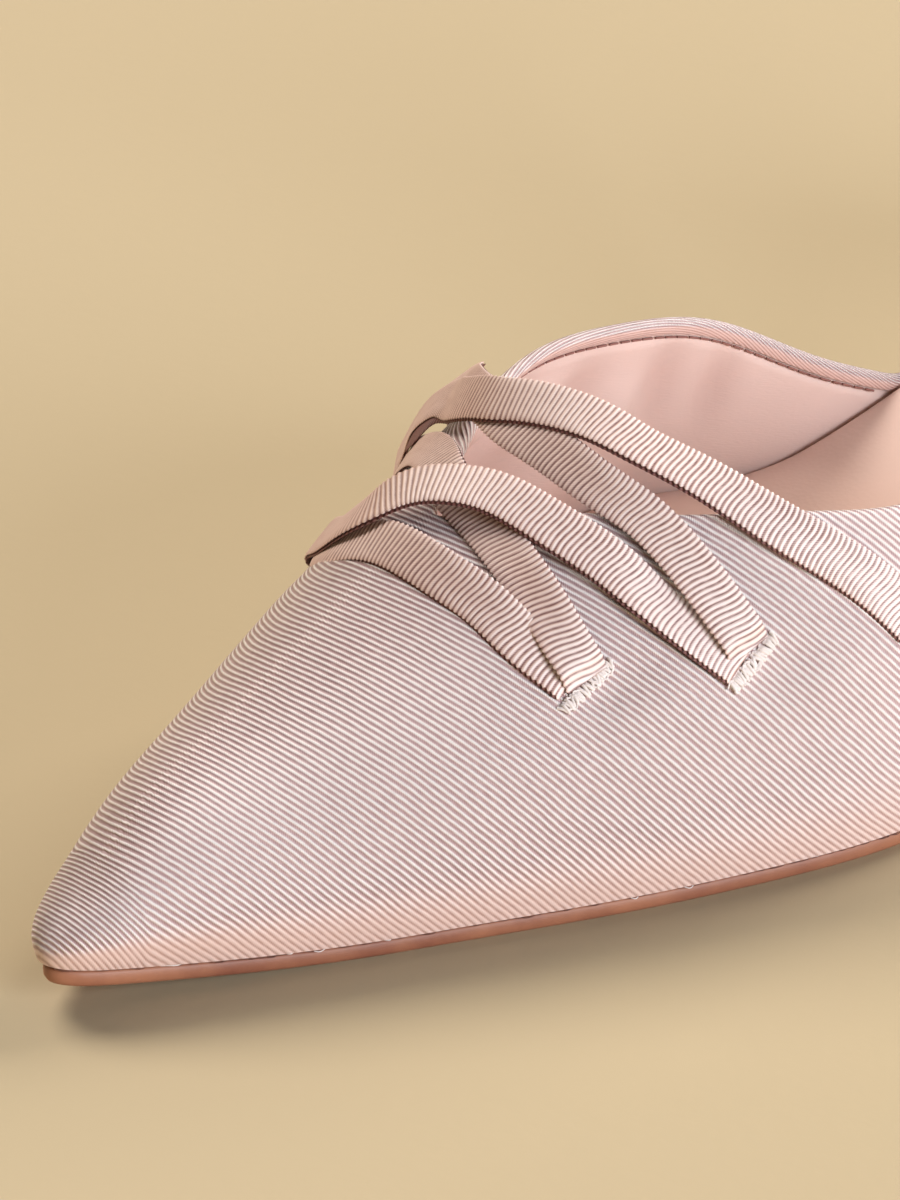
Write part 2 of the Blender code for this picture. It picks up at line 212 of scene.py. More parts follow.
def feather(station, side, inset=0.0, up=0.0):
    """Points on the feather edge, moved in by inset and up from the sole's underside."""
    station, side, inset, up = np.broadcast_arrays(station, side, inset, up)
    edge = np.stack([side * half_width(station, side), station], -1)
    flat = edge - inset[..., None] * outline_normal(station, side)
    flat[..., 0] = side * np.maximum(side * flat[..., 0], 0.0)
    return np.concatenate([flat, (clearance(flat[..., 1]) + up)[..., None]], -1)


def topline_at(station, side):
    """How far up the side of the last the upper reaches: 1 on the vamp."""
    gone = np.sqrt(np.maximum(station - THROAT, 0.0))
    reach = np.where(side > 0, lateral_topline(gone), medial_topline(gone))
    return np.where(station <= THROAT, 1.0, np.clip(reach, 0.012, 1.0))


def drawn_at(station, side, up):
    """How far the cloth is drawn inwards from the last at this height on the side."""
    edge = topline_at(station, side)
    gone = np.sqrt(np.clip(station, THROAT, TAIL[-1]) - THROAT)
    most = np.maximum(drawn_in(gone), 0.0)
    below = most * (up / edge) ** 2
    above = most * (1 - up) / np.maximum(1 - edge, 1e-6)
    return np.where((side < 0) & (station > THROAT), np.where(up <= edge, below, above), 0.0)


def last_points(station, side, up):
    """Points of the last on the sections at these stations, this far up each side."""
    station, side, up = np.broadcast_arrays(*(np.asarray(a, float) for a in (station, side, up)))
    foot = feather(station, side, up=SOLE + GAP)
    back = np.hypot(station, CROWN_SETBACK)
    crown = np.stack([crown_lean(back), back, crown_height(back)], -1)
    slope = crown_height(back + 0.5) - crown_height(back - 0.5)
    differ = side * np.minimum(station / FORE, 1.0)
    bulge = BULGE + BULGE_SIDES * differ - NOSE_TUCK * np.maximum(1 - station / NOSE, 0.0)
    rise = (STEEPNESS - STEEPNESS_SIDES * differ) * (crown[..., 2] - foot[..., 2])
    out = outline_normal(station, side)
    wall = foot + np.stack([out[..., 0] * bulge, out[..., 1] * bulge, rise], -1)
    across = foot - crown
    shoulder = crown + SHOULDER * np.stack([across[..., 0], across[..., 1], slope * across[..., 1]], -1)
    high = up[..., None]
    low = 1 - high
    point = low**3 * foot + 3 * low**2 * high * wall + 3 * low * high**2 * shoulder + high**3 * crown
    point[..., 0] += drawn_at(station, side, up)
    return point


def last_normals(station, side, up):
    """Unit normals out of the last."""
    station, side, up = np.broadcast_arrays(*(np.asarray(a, float) for a in (station, side, up)))
    near = np.maximum(station, 0.8)
    along = last_points(near + 0.6, side, up) - last_points(near - 0.6, side, up)
    rising = last_points(near, side, np.minimum(up + 0.01, 1)) - last_points(near, side, up - 0.01)
    return unit(np.cross(along, rising) * side[..., None])


# The cloth lies flat across the crown, and each rib runs back as it goes down the
# sides: by this much for each millimetre of drop, more with the drop and the station.
SWEEP = 0.71
SWEEP_BY_DROP = 0.0043
SWEEP_BY_STATION = 0.0019
# Ribs also bend by the distance off the crown, by its square, and by distance times
# drop, which counts for more on the medial side.
BEND = 0.03
BEND_SQUARED = 0.0032
BEND_DROP = {"off": (-8.0, 0.0), "share": (0.026, 0.0125)}
CROWN_BLEND = 2.0  # half width over which the count along a rib changes sign
NOSE_ARC = 1.067  # length over the nose for each millimetre of station
crown_run = np.linspace(CROWN_SETBACK, 200.0, 400)
crown_arc = np.hypot(np.gradient(crown_run), np.gradient(crown_height(crown_run)))
crown_arc = CROWN_SETBACK * NOSE_ARC + np.cumsum(crown_arc) - crown_arc[0]


def weave(points):
    """Millimetres along a rib and across the ribs, for points on the shoe."""
    x, y, z = np.moveaxis(points, -1, 0)
    drop = np.interp(y, crown_run, crown_height(crown_run)) - z
    off = x - np.interp(y, crown_run, crown_lean(crown_run))
    arc = np.where(y < CROWN_SETBACK, NOSE_ARC * y, np.interp(y, crown_run, crown_arc))
    swept = SWEEP * drop + SWEEP_BY_DROP * drop**2 + SWEEP_BY_STATION * drop * y
    swept += BEND * off + BEND_SQUARED * off**2
    swept -= np.interp(off, BEND_DROP["off"], BEND_DROP["share"]) * off * drop
    return np.stack([np.hypot(off, drop) * off / np.hypot(off, CROWN_BLEND), arc - swept], -1)


def linear(hex_colour):
    """An sRGB hex colour as linear RGBA."""
    channels = [int(hex_colour[i : i + 2], 16) / 255 for i in (1, 3, 5)]
    return tuple(c / 12.92 if c <= 0.04045 else ((c + 0.055) / 1.055) ** 2.4 for c in channels) + (1.0,)


def node(tree, kind, inputs, **settings):
    """Adds a shader node with its settings; inputs holds values or other nodes' outputs."""
    made = tree.nodes.new("ShaderNode" + kind)
    for name, value in settings.items():
        setattr(made, name, value)
    for key, value in inputs.items():
        if isinstance(value, bpy.types.NodeSocket):
            tree.links.new(value, made.inputs[key])
        else:
            made.inputs[key].default_value = value
    return made.outputs


def new_material(name, finish):
    """A material with a Principled shader whose constants are set on its own sockets."""
    material = bpy.data.materials.new(name)
    material.use_nodes = True
    tree = material.node_tree
    shader = tree.nodes["Principled BSDF"]
    for socket, value in finish.items():
        shader.inputs[socket].default_value = value
    return material, tree, shader


def vary(tree, shader, colour, share, least, most):
    """Gives the shader a colour that a noise varies between two shares of itself."""
    dye = node(tree, "MapRange", {"Value": share, "To Min": least, "To Max": most})[0]
    both = {0: 1.0, 6: colour, 7: dye}
    varied = node(tree, "Mix", both, data_type="RGBA", blend_type="MULTIPLY")[2]
    tree.links.new(varied, shader.inputs["Base Color"])


def new_piece(name, points, faces, materials, weave_map=None, face_materials=None):
    """One smooth-shaded object from points in millimetres."""
    mesh = bpy.data.meshes.new(name)
    mesh.from_pydata(((np.asarray(points) - CENTRE) / 1000).tolist(), [], [tuple(f) for f in faces])
    if weave_map is not None:
        corners = np.empty(len(mesh.loops), np.int32)
        mesh.loops.foreach_get("vertex_index", corners)
        layer = mesh.uv_layers.new(name="weave")
        layer.uv.foreach_set("vector", np.asarray(weave_map, np.float32)[corners].ravel())
    for material in materials:
        mesh.materials.append(material)
    if face_materials is not None:
        mesh.polygons.foreach_set("material_index", np.asarray(face_materials, np.int32))
    mesh.shade_smooth()
    mesh.update()
    piece = bpy.data.objects.new(name, mesh)
    bpy.context.scene.collection.objects.link(piece)
    return piece


def quads(rows, columns, closed=False, start=0):
    """Faces of a grid of rows by columns; closed joins the last column to the first."""
    wide = columns if closed else columns - 1
    i, j = np.meshgrid(np.arange(rows - 1), np.arange(wide), indexing="ij")
    k = (j + 1) % columns
    faces = np.stack([i * columns + j, (i + 1) * columns + j, (i + 1) * columns + k, i * columns + k], -1)
    return faces.reshape(-1, 4) + start


# Rib pitch of the cloth and of the fine threads that wrap each rib. The real threads
# are about half as thick, and are drawn this coarse so that they show.
CLOTH_RIB = 0.70
CLOTH_THREAD = 0.25
# Ways that the cloth can face, which choose its painted light: to the heel side of its
# lateral flank, where its ground is painted palest as if lit; up; and to the front
# quarter. Only where it faces both up and to the front is its painted highlight kept.
LIT_FLANK = (0.80, 0.35, 0.45)
GLOSS_UP = (0.0, 0.0, 1.0)
GLOSS_FRONT = (0.64, -0.63, 0.44)


# Sizes in the weave, in millimetres: how far apart the ribs drift and the dye clouds,
# and the length and breadth of a slub, a thick place in a thread.
DRIFT = 6.25
DYE_CLOUD = 20.0
SLUB = (1.25, 0.4545)
# Where the groove and the ridge of a rib lie on its colour ramp, how far the threads
# that wrap it lean, and how much the slubs count in its height and in its tone.
GROOVE_AT = 0.23
RIDGE_AT = 0.95
WRAP_LEAN = 1.2
SLUB_HEIGHT = 0.45
SLUB_TONE = 0.70
TONE_SHARE = 0.8


def ribbed_cloth(name, rib, thread, bead_share, sway, painted_light_tones, painted_light_facing, finish, relief):
    """Ribbed weave, relief millimetres deep: a painted highlight along each ridge over a
    darker ground, partly the weave's own tone and partly painted shade, broken into fine
    beads, bead_share high, by the threads that wrap the ribs aslant. The ribs drift by
    sway. Tones are three painted copies of ridge, flank and groove: lit where the cloth
    faces the lateral flank, in painted shade where it faces off it, and unlit where the
    painted highlight dies, each with the width of its pale part. Facing holds the two
    shares between which each way counts."""
    material, tree, shader = new_material(name, finish)
    place = node(tree, "UVMap", {}, uv_map="weave")["UV"]
    drift = node(tree, "TexNoise", {"Vector": place, "Scale": 1 / DRIFT, "Detail": 1.0})["Fac"]
    split = node(tree, "SeparateXYZ", {0: place})
    shift = node(tree, "Math", {0: drift, 1: sway, 2: split["Y"]}, operation="MULTIPLY_ADD")[0]
    turns = {0: shift, 1: 2 * math.pi / rib, 2: -math.pi * sway / rib}
    phase = node(tree, "Math", turns, operation="MULTIPLY_ADD")[0]
    swing = node(tree, "Math", {0: phase}, operation="COSINE")[0]
    wave = node(tree, "Math", {0: swing, 1: -0.5, 2: 0.5}, operation="MULTIPLY_ADD")[0]
    aslant = node(tree, "Math", {0: split["Y"], 1: WRAP_LEAN * math.pi / thread}, operation="MULTIPLY")[0]
    turns = {0: split["X"], 1: 2 * math.pi / thread, 2: aslant}
    wrap = node(tree, "Math", turns, operation="MULTIPLY_ADD")[0]
    bead = node(tree, "Math", {0: wrap}, operation="SINE")[0]
    beaded = node(tree, "Math", {0: bead, 1: bead_share, 2: wave}, operation="MULTIPLY_ADD")[0]
    per_slub = {0: place, 1: (1 / SLUB[0], 1 / SLUB[1], 1.0)}
    drawn_out = node(tree, "VectorMath", per_slub, operation="MULTIPLY")["Vector"]
    spun = {"Vector": drawn_out, "Scale": 1.0, "Detail": 4.0, "Roughness": 0.6}
    slub = node(tree, "TexNoise", spun)["Fac"]
    height = node(tree, "Math", {0: slub, 1: SLUB_HEIGHT, 2: beaded}, operation="MULTIPLY_ADD")[0]
    uneven = node(tree, "Math", {0: slub, 1: SLUB_TONE, 2: beaded}, operation="MULTIPLY_ADD")[0]
    scaled = node(tree, "Math", {0: uneven, 1: TONE_SHARE}, operation="MULTIPLY")[0]

    def rib_tones(ridge, flank, groove, width):
        tone = node(tree, "ValToRGB", {"Fac": scaled})["Color"]
        ramp = tree.nodes[-1].color_ramp
        ramp.elements[0].color = linear(groove)
        ramp.elements[0].position = GROOVE_AT
        ramp.elements[1].color = linear(ridge)
        ramp.elements[1].position = RIDGE_AT
        ramp.elements.new(RIDGE_AT - TONE_SHARE * width).color = linear(flank)
        return tone

    outward = node(tree, "NewGeometry", {})["Normal"]

    def painted_light_share(way, least, most):
        toward = node(tree, "VectorMath", {0: outward, 1: way}, operation="DOT_PRODUCT")["Value"]
        ends = {"Value": toward, "From Min": least, "From Max": most}
        return node(tree, "MapRange", ends, interpolation_type="SMOOTHSTEP")[0]

    # The ribs' colour is painted light: a lit copy where they face the lateral flank, a copy in painted
    # shade where they face off it, and an unlit copy where they don't face both up and to the front, so
    # that the painted highlight dies there.
    lit_flank_tones, shaded_tones, unlit_tones = painted_light_tones
    sides = {0: painted_light_share(LIT_FLANK, *painted_light_facing[0]), 6: rib_tones(*shaded_tones), 7: rib_tones(*lit_flank_tones)}
    ribbed = node(tree, "Mix", sides, data_type="RGBA")[2]
    lit = {0: painted_light_share(GLOSS_UP, *painted_light_facing[1]), 1: painted_light_share(GLOSS_FRONT, *painted_light_facing[2])}
    painted_gloss = node(tree, "Math", lit, operation="MULTIPLY")[0]
    woven = node(tree, "Mix", {0: painted_gloss, 6: rib_tones(*unlit_tones), 7: ribbed}, data_type="RGBA")[2]
    cloudy = node(tree, "TexNoise", {"Vector": place, "Scale": 1 / DYE_CLOUD, "Detail": 3.0})["Fac"]
    vary(tree, shader, woven, cloudy, 0.95, 1.05)
    standing = node(tree, "Math", {0: painted_gloss, 1: 0.75, 2: 0.25}, operation="MULTIPLY_ADD")[0]
    bump = node(tree, "Bump", {"Height": height, "Distance": relief / 1000, "Strength": standing})
    tree.links.new(bump["Normal"], shader.inputs["Normal"])
    return material


# Faille, woven of cotton and viscose: soft matt furrows, partly painted shade, with a
# painted highlight along each ridge. Its three sets of tones are painted lit, painted
# shade and unlit copies of the cloth, chosen by the way it faces.
faille = ribbed_cloth(
    "faille_ribbed_painted_light",
    rib=CLOTH_RIB,
    thread=CLOTH_THREAD,
    bead_share=0.11,
    sway=0.30,
    painted_light_tones=(
        ("#FFFAF8", "#E0C2C2", "#C2A1A3", 0.50),
        ("#FFF5F2", "#C29E9E", "#A28081", 0.42),
        ("#ECD0C7", "#DDBCB1", "#BD978B", 0.50),
    ),
    painted_light_facing=((0.45, 0.82), (-0.20, 0.12), (-1.20, -1.05)),
    finish={"Roughness": 0.34, "IOR": 1.5, "Sheen Weight": 0.15, "Sheen Roughness": 0.4},
    relief=0.20,
)

ROLL = 0.8  # radius of the turned topline: half the wall
TURN_IN = 1.2  # width of the turned-in cloth seen inside
TURN_TUCK = 0.25  # how far its cut edge lies nearer the last
NUDGE = 0.2  # step either side of the topline that its weave is carried on from
VAMP_ROWS = 110
WING_ROWS = 150
UP_COLUMNS = 54
TOE_CROWDS = 1.35  # how much the rows crowd at the toe tip, and behind the throat
THROAT_CROWDS = 1.25


def upper_grid(side, rows_vamp, rows_wing, columns):
    """Stations and heights of the grid over one side of the upper."""
    vamp = THROAT * np.linspace(0, 1, rows_vamp) ** TOE_CROWDS
    wing = THROAT + (TAIL[side] - THROAT) * np.linspace(0, 1, rows_wing)[1:] ** THROAT_CROWDS
    stations = np.concatenate([vamp, wing])
    share = np.linspace(0, 1, columns)
    up = topline_at(stations, side)[:, None] * share[None, :]
    return np.broadcast_to(stations[:, None], up.shape), up


def swells(rows, station, side, up):
    """Sum of soft dips and swells, each a row of its station, girth, length, spread in
    girth, and height in millimetres."""
    girth = side * (1 - up)
    total = np.zeros(station.shape)
    for at, around_it, length, width, height in rows:
        total += height * np.exp(-(((station - at) / length) ** 2) - ((girth - around_it) / width) ** 2)
    return total


# At the slits, where the ribbons pull, and along the throat.
DENTS = [
    (62.0, 0.56, 5.0, 0.05, -0.45),
    (66.0, 0.60, 6.0, 0.05, 0.25),
    (80.0, 0.66, 5.0, 0.05, -0.40),
    (84.0, 0.70, 6.0, 0.05, 0.25),
    (100.0, 0.74, 5.0, 0.05, -0.35),
    (57.5, -0.40, 6.0, 0.11, -0.75),
    (80.0, -0.66, 5.0, 0.06, -0.40),
]


def make_upper_sheets(stand, rows_vamp=VAMP_ROWS, rows_wing=WING_ROWS, columns=UP_COLUMNS):
    """The sheet over both sides, stand(station, side, up) millimetres out from the last.
    Gives its points, the station, side and up of each, its faces, and the points of its
    topline from the medial tail round the throat to the lateral one."""
    points, places, faces = [], [], []
    size = (rows_vamp + rows_wing - 1) * columns
    edge = {}
    for side, start in ((+1, 0), (-1, size)):
        station, up = upper_grid(side, rows_vamp, rows_wing, columns)
        normal = last_normals(station, side, up)
        sheet = last_points(station, side, up) + normal * stand(station, side, up)[..., None]
        rows = quads(*station.shape, start=start)
        faces.append(rows if side > 0 else rows[:, ::-1])
        points.append(sheet.reshape(-1, 3))
        places.append(np.stack([station, np.full_like(station, side), up], -1).reshape(-1, 3))
        edge[side] = start + np.arange(rows_vamp - 1, len(station)) * columns + columns - 1
    # The two sides share their toe seam and their crown.
    same = np.arange(2 * size)
    crown = np.arange(rows_vamp) * columns + columns - 1
    same[size + crown] = crown
    same[size : size + columns] = np.arange(columns)
    border = np.concatenate([edge[-1][::-1], edge[+1][1:]])
    return np.concatenate(points), np.concatenate(places), same[np.concatenate(faces)], same[border]


def without_closed(points, faces, places):
    """Drops faces that have closed up and points that no face uses, and gives the
    new number of each old point."""
    used = np.unique(faces)
    renumber = np.full(len(points), -1)
    renumber[used] = np.arange(len(used))
    kept = []
    for face in renumber[faces].tolist():
        corners = list(dict.fromkeys(face))
        if len(corners) > 2:
            kept.append(corners)
    return points[used], kept, places[used], renumber


points, places, faces, border = make_upper_sheets(lambda *place: swells(DENTS, *place))
skin, skin_faces, skin_places, renumber = without_closed(points, faces, places)
border = renumber[border]
rim = skin[border]
rim_normal = last_normals(*skin_places[border].T)
rim_out = unit(np.cross(rim_normal, np.gradient(rim, axis=0)))
EDGE_TURN = np.linspace(0, np.pi, 8)[1:]
strips = [rim + ROLL * (np.sin(a) * rim_out - (1 - np.cos(a)) * rim_normal) for a in EDGE_TURN]
run = [ROLL * a for a in EDGE_TURN]
for share in (0.35, 0.7, 1.0):
    tuck = TURN_TUCK * share**3
    strips.append(rim - (2 * ROLL - tuck) * rim_normal - TURN_IN * share * rim_out)
    run.append(ROLL * np.pi + TURN_IN * share)
turned = np.concatenate(strips)
skin_weave = weave(skin)
step = (weave(rim + NUDGE * rim_out) - weave(rim - NUDGE * rim_out)) / (2 * NUDGE)
turned_weave = np.concatenate([skin_weave[border] + step * d for d in run])
count = len(border)
later = len(skin) + np.arange(len(strips) * count).reshape(len(strips), count)
grid = np.concatenate([border[None, :], later])
turned_faces = np.stack([grid[:-1, :-1], grid[1:, :-1], grid[1:, 1:], grid[:-1, 1:]], -1).reshape(-1, 4)
vamp = new_piece(
    "vamp_cloth",
    np.concatenate([skin, turned]),
    skin_faces + turned_faces[:, ::-1].tolist(),
    [faille],
    np.concatenate([skin_weave, turned_weave]),
)
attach(vamp, "root")
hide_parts("upper")

# ---- Lining ----------------------------------------------------------------
# Pale pink satin glued inside the whole upper, its top edge caught under the
# turned-in cloth by a row of small stitches. It lies in a few soft folds, whose
# hollows are darkened with painted shade.
SATIN = "#EAD2C8"
# Colour of the painted shade in the hollows of the folds.
SATIN_FOLD_SHADE = "#B98D80"
LINING_TUCK = 0.55  # how much nearer the last it lies under the turned-in cloth
RIM_CLEAR = 0.2  # how far past that cloth it starts to come away, and over what distance
RIM_BLEND = 0.9
# Painted shade in the hollows of the folds: where it lies, and how dark it gets at most.
FOLD_SHADE_SHIFT = 0.02  # the shade of a fold lies this much nearer the feather edge
FOLD_SHADE_DEPTH = 0.30
# The lining's folds, out towards the last.
FOLDS = [
    (88.0, -0.58, 3.6, 0.06, -1.50),
    (94.5, -0.62, 3.0, 0.05, 1.00),
    (101.0, -0.68, 3.4, 0.06, -1.70),
    (108.0, -0.70, 3.2, 0.05, 1.00),
    (114.5, -0.78, 3.4, 0.05, -1.80),
    (121.0, -0.76, 3.2, 0.055, 1.15),
    (129.0, -0.82, 3.0, 0.05, 1.10),
    (97.0, -0.80, 6.0, 0.07, 0.95),
    (107.0, -0.86, 5.0, 0.05, -1.10),
    (118.0, -0.91, 6.0, 0.04, 0.80),
    (96.0, 0.80, 9.0, 0.10, 0.40),
    (116.0, 0.82, 9.0, 0.10, -0.40),
]
# Satin, woven of viscose: smooth, with a broad soft gloss. Its twill is drawn coarser
# than the real 0.1 mm, so that the gloss isn't glassy.
TWILL = 0.4167
SATIN_CLOUD = 14.3
satin, tree, shader = new_material(
    "satin_lining_with_fold_shade",
    {"Roughness": 0.36, "IOR": 1.5, "Sheen Weight": 0.2, "Sheen Roughness": 0.35},
)
place = node(tree, "UVMap", {}, uv_map="weave")["UV"]
# The satin is darker in the hollows of its folds: painted shade, read from a point attribute.
painted_fold_shade = node(tree, "Attribute", {}, attribute_name="painted_fold_shade")["Fac"]
both = {0: painted_fold_shade, 6: linear(SATIN), 7: linear(SATIN_FOLD_SHADE)}
satin_with_fold_shade = node(tree, "Mix", both, data_type="RGBA")[2]
cloudy = node(tree, "TexNoise", {"Vector": place, "Scale": 1 / SATIN_CLOUD, "Detail": 2.0})["Fac"]
vary(tree, shader, satin_with_fold_shade, cloudy, 0.95, 1.04)
twill = node(tree, "TexNoise", {"Vector": place, "Scale": 1 / TWILL, "Detail": 2.0})["Fac"]
bump = node(tree, "Bump", {"Height": twill, "Distance": 0.00004})
tree.links.new(bump["Normal"], shader.inputs["Normal"])


def clear_of_rim(station, side, up):
    """0 where the turned-in cloth covers the lining, 1 well below it."""
    sheet = last_points(station, side, up)
    gap = np.full(station.shape, 1e9)
    for edge_point in rim[:: max(len(rim) // 160, 1)]:
        gap = np.minimum(gap, ((sheet - edge_point) ** 2).sum(-1))
    return smooth_step((np.sqrt(gap) - TURN_IN - RIM_CLEAR) / RIM_BLEND)


def lining_stand(station, side, up):
    """How far out from the last the lining lies: below 0, as it is inside."""
    clear = clear_of_rim(station, side, up)
    return LINING_TUCK * (1 - clear) - WALL + swells(FOLDS, station, side, up) * clear


points, places, faces, _ = make_upper_sheets(lining_stand, 60, 100, 40)
inside, inside_faces, inside_places, _ = without_closed(points, faces[:, ::-1], places)
lining = new_piece("vamp_lining", inside, inside_faces, [satin], weave(inside))
station, side, up = inside_places.T
# Painted shade in the hollows of the folds, kept off where the turned-in cloth covers the lining.
shaded = np.clip(swells(FOLDS, station, side, up + FOLD_SHADE_SHIFT), 0.0, 1.0)
shaded = shaded * FOLD_SHADE_DEPTH * clear_of_rim(station, side, up)
lining.data.attributes.new("painted_fold_shade", "FLOAT", "POINT").data.foreach_set("value", shaded.astype(np.float32))
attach(lining, "root")

# ---- Lacing ribbons --------------------------------------------------------
# Five lengths of grosgrain, folded double, drawn out of slits on one side of the
# vamp and into slits on the other. The second ply shows along the toe side, as a
# dark strip of painted shade.
RIBBON_WIDTH = 5.4
RIBBON_RIB = 0.66
RIB_ROWS = 6
STIFF = 32  # rows over which a ribbon evens out its bends
RIBBON_THREAD = 0.25
PLY = 0.34
RIB_HEIGHT = 0.14
RIB_PULL = (0.03, 0.15)  # how far a rib bends in its S, and how much more at the lateral end
RIB_SLANT = 0.09
UNDER_PLY = 0.26
UNDER_RIB_HEIGHT = 0.05
UNDER_SHIFT = 0.37  # how far the inner ply's ribs are out of step with the outer's
DIVE = (2.2, 1.3)  # length at each end that goes into the slit, and how deep
# How far the inner ply shows past the outer one; elsewhere it lies just inside.
INNER_SHOWS = {"toe_bar": 0.20, "cross_2": 0.26, "top_bar": 0.26}
INNER_HIDES = -0.1
# Where the inner ply is drawn out past the outer one as a flap, whose dark colour is painted shade standing
# for the ribbon's underside in shadow: place along the ribbon, spread, and how far.
SHADE_FLAP = {"top_bar": (18.5, 3.5, 3.6)}
# Middles from the medial slit to the lateral slit: station, girth, height of the
# underside over the cloth, and turn about its own length in degrees.
RIBBONS = {
    "toe_bar": [
        (66.1, -0.571, -0.21, 0),
        (61.6, -0.456, -0.39, -1),
        (57.5, -0.379, -0.50, -4),
        (53.5, -0.300, -0.50, -5),
        (52.7, -0.147, 0.10, -9),
        (52.8, 0.004, 0.87, -19),
        (53.2, 0.148, 0.96, -21),
        (54.5, 0.270, 0.67, -16),
        (55.6, 0.386, 0.34, -7),
        (58.7, 0.522, 0.10, 0),
    ],
    "cross_1": [
        (83.4, -0.667, 0.20, -6),
        (79.0, -0.570, 0.20, -11),
        (74.1, -0.463, 0.25, -12),
        (70.3, -0.322, 0.60, -7),
        (66.7, -0.201, 0.64, -6),
        (64.1, -0.090, 0.35, -5),
        (62.0, 0.021, 0.11, -5),
        (60.9, 0.111, 0.27, -9),
        (59.8, 0.222, 0.85, -13),
        (59.2, 0.342, 1.15, -12),
        (59.0, 0.443, 1.24, -5),
        (59.5, 0.516, 1.24, 0),
    ],
    "cross_2": [
        (66.5, -0.630, 0.20, 0),
        (61.8, -0.535, 0.20, 0),
        (58.6, -0.430, 0.20, -1),
        (55.9, -0.311, 0.20, -4),
        (55.9, -0.148, 1.71, -3),
        (58.4, -0.064, 2.75, -6),
        (60.8, 0.018, 2.99, -3),
        (63.2, 0.105, 2.76, -2),
        (65.0, 0.221, 2.03, -5),
        (67.6, 0.349, 1.00, -3),
        (69.3, 0.444, 0.32, 14),
        (72.1, 0.539, 0.10, 12),
        (76.0, 0.635, 0.10, 0),
    ],
    "cross_3": [
        (96.0, -0.705, 0.30, 0),
        (90.0, -0.570, 2.30, 4),
        (83.7, -0.418, 2.40, 6),
        (77.8, -0.275, 1.44, -1),
        (74.1, -0.125, 0.87, -9),
        (72.0, -0.001, 0.61, -15),
        (71.7, 0.110, 0.57, -18),
        (72.0, 0.214, 0.65, -14),
        (73.3, 0.307, 0.80, -6),
        (74.3, 0.413, 0.99, -4),
        (75.5, 0.538, 1.17, -4),
        (76.5, 0.604, 1.29, 0),
    ],
    "top_bar": [
        (83.8, -0.702, 2.46, -30),
        (83.4, -0.593, 2.50, -22),
        (80.8, -0.490, 2.52, -14),
        (78.5, -0.366, 2.42, -12),
        (76.0, -0.270, 2.15, -13),
        (74.4, -0.163, 2.02, -17),
        (73.8, -0.053, 1.93, -16),
        (75.1, 0.043, 1.94, -8),
        (76.9, 0.147, 1.84, 4),
        (78.1, 0.226, 1.58, 12),
        (81.3, 0.343, 1.30, 8),
        (85.3, 0.462, 0.97, -4),
        (91.0, 0.583, 0.61, -13),
        (96.6, 0.712, 0.18, -3),
    ],
}


def ridge(phase):
    """Round ribs with a furrow at each whole number."""
    return 0.5 - 0.5 * np.cos(2 * np.pi * phase)


def distances(line):
    """Length gone along a line at each of its points."""
    return np.concatenate([[0], np.cumsum(np.linalg.norm(np.diff(line, axis=0), axis=1))])


def along_line(line, gone, at):
    """Points of a line at these distances along it."""
    return np.stack([np.interp(at, gone, line[:, k]) for k in range(3)], 1)


def ribbon_path(rows):
    """Middle, tangent, normal and width direction every RIB_ROWS-th of a rib."""
    table = np.array(rows, float)
    steps = np.arange(len(table))
    fine = np.linspace(0, len(table) - 1, 60 * (len(table) - 1) + 1)
    station, girth, stand, turn = (curve(steps, table[:, k])(fine) for k in range(4))
    side = np.where(girth >= 0, 1.0, -1.0)
    normal = last_normals(station, side, 1 - np.abs(girth))
    middle = last_points(station, side, 1 - np.abs(girth)) + normal * stand[:, None]
    gone = distances(middle)
    even = np.arange(0, gone[-1], RIBBON_RIB / RIB_ROWS)
    middle, normal = (along_line(values, gone, even) for values in (middle, normal))
    turn = np.radians(np.interp(even, gone, turn))
    kernel = np.hanning(2 * STIFF + 1) / np.hanning(2 * STIFF + 1).sum()
    for values in (middle, normal):
        lead = 2 * values[:1] - values[STIFF:0:-1]
        tail = 2 * values[-1:] - values[-2 : -STIFF - 2 : -1]
        padded = np.concatenate([lead, values, tail])
        for k in range(3):
            values[:, k] = np.convolve(padded[:, k], kernel, "valid")
    tangent = unit(np.gradient(middle, axis=0))
    across = unit(np.cross(tangent, normal))
    normal = np.cross(across, tangent)
    turned = np.cos(turn)[:, None] * across + np.sin(turn)[:, None] * normal
    normal = np.cos(turn)[:, None] * normal - np.sin(turn)[:, None] * across
    return even, middle, tangent, normal, turned


def loft(rows, start=0, inside_out=False):
    """Points and faces of a closed loft through rows of equal length, with flat ends."""
    count = rows.shape[1]
    faces = quads(len(rows), count, closed=True, start=start)[:, ::-1].tolist()
    faces.append([start + k for k in range(count)])
    faces.append([start + (len(rows) - 1) * count + k for k in range(count)][::-1])
    if inside_out:
        faces = [face[::-1] for face in faces]
    return rows.reshape(-1, 3), faces


def band_ring(columns):
    """Round a flat band, up one face and back down the other: share of the half width,
    and 1 or -1 for the face."""
    share = np.sin(np.linspace(-np.pi / 2, np.pi / 2, columns))
    face = np.concatenate([np.ones(columns), -np.ones(columns - 2)])
    return np.concatenate([share, share[-2:0:-1]]), face


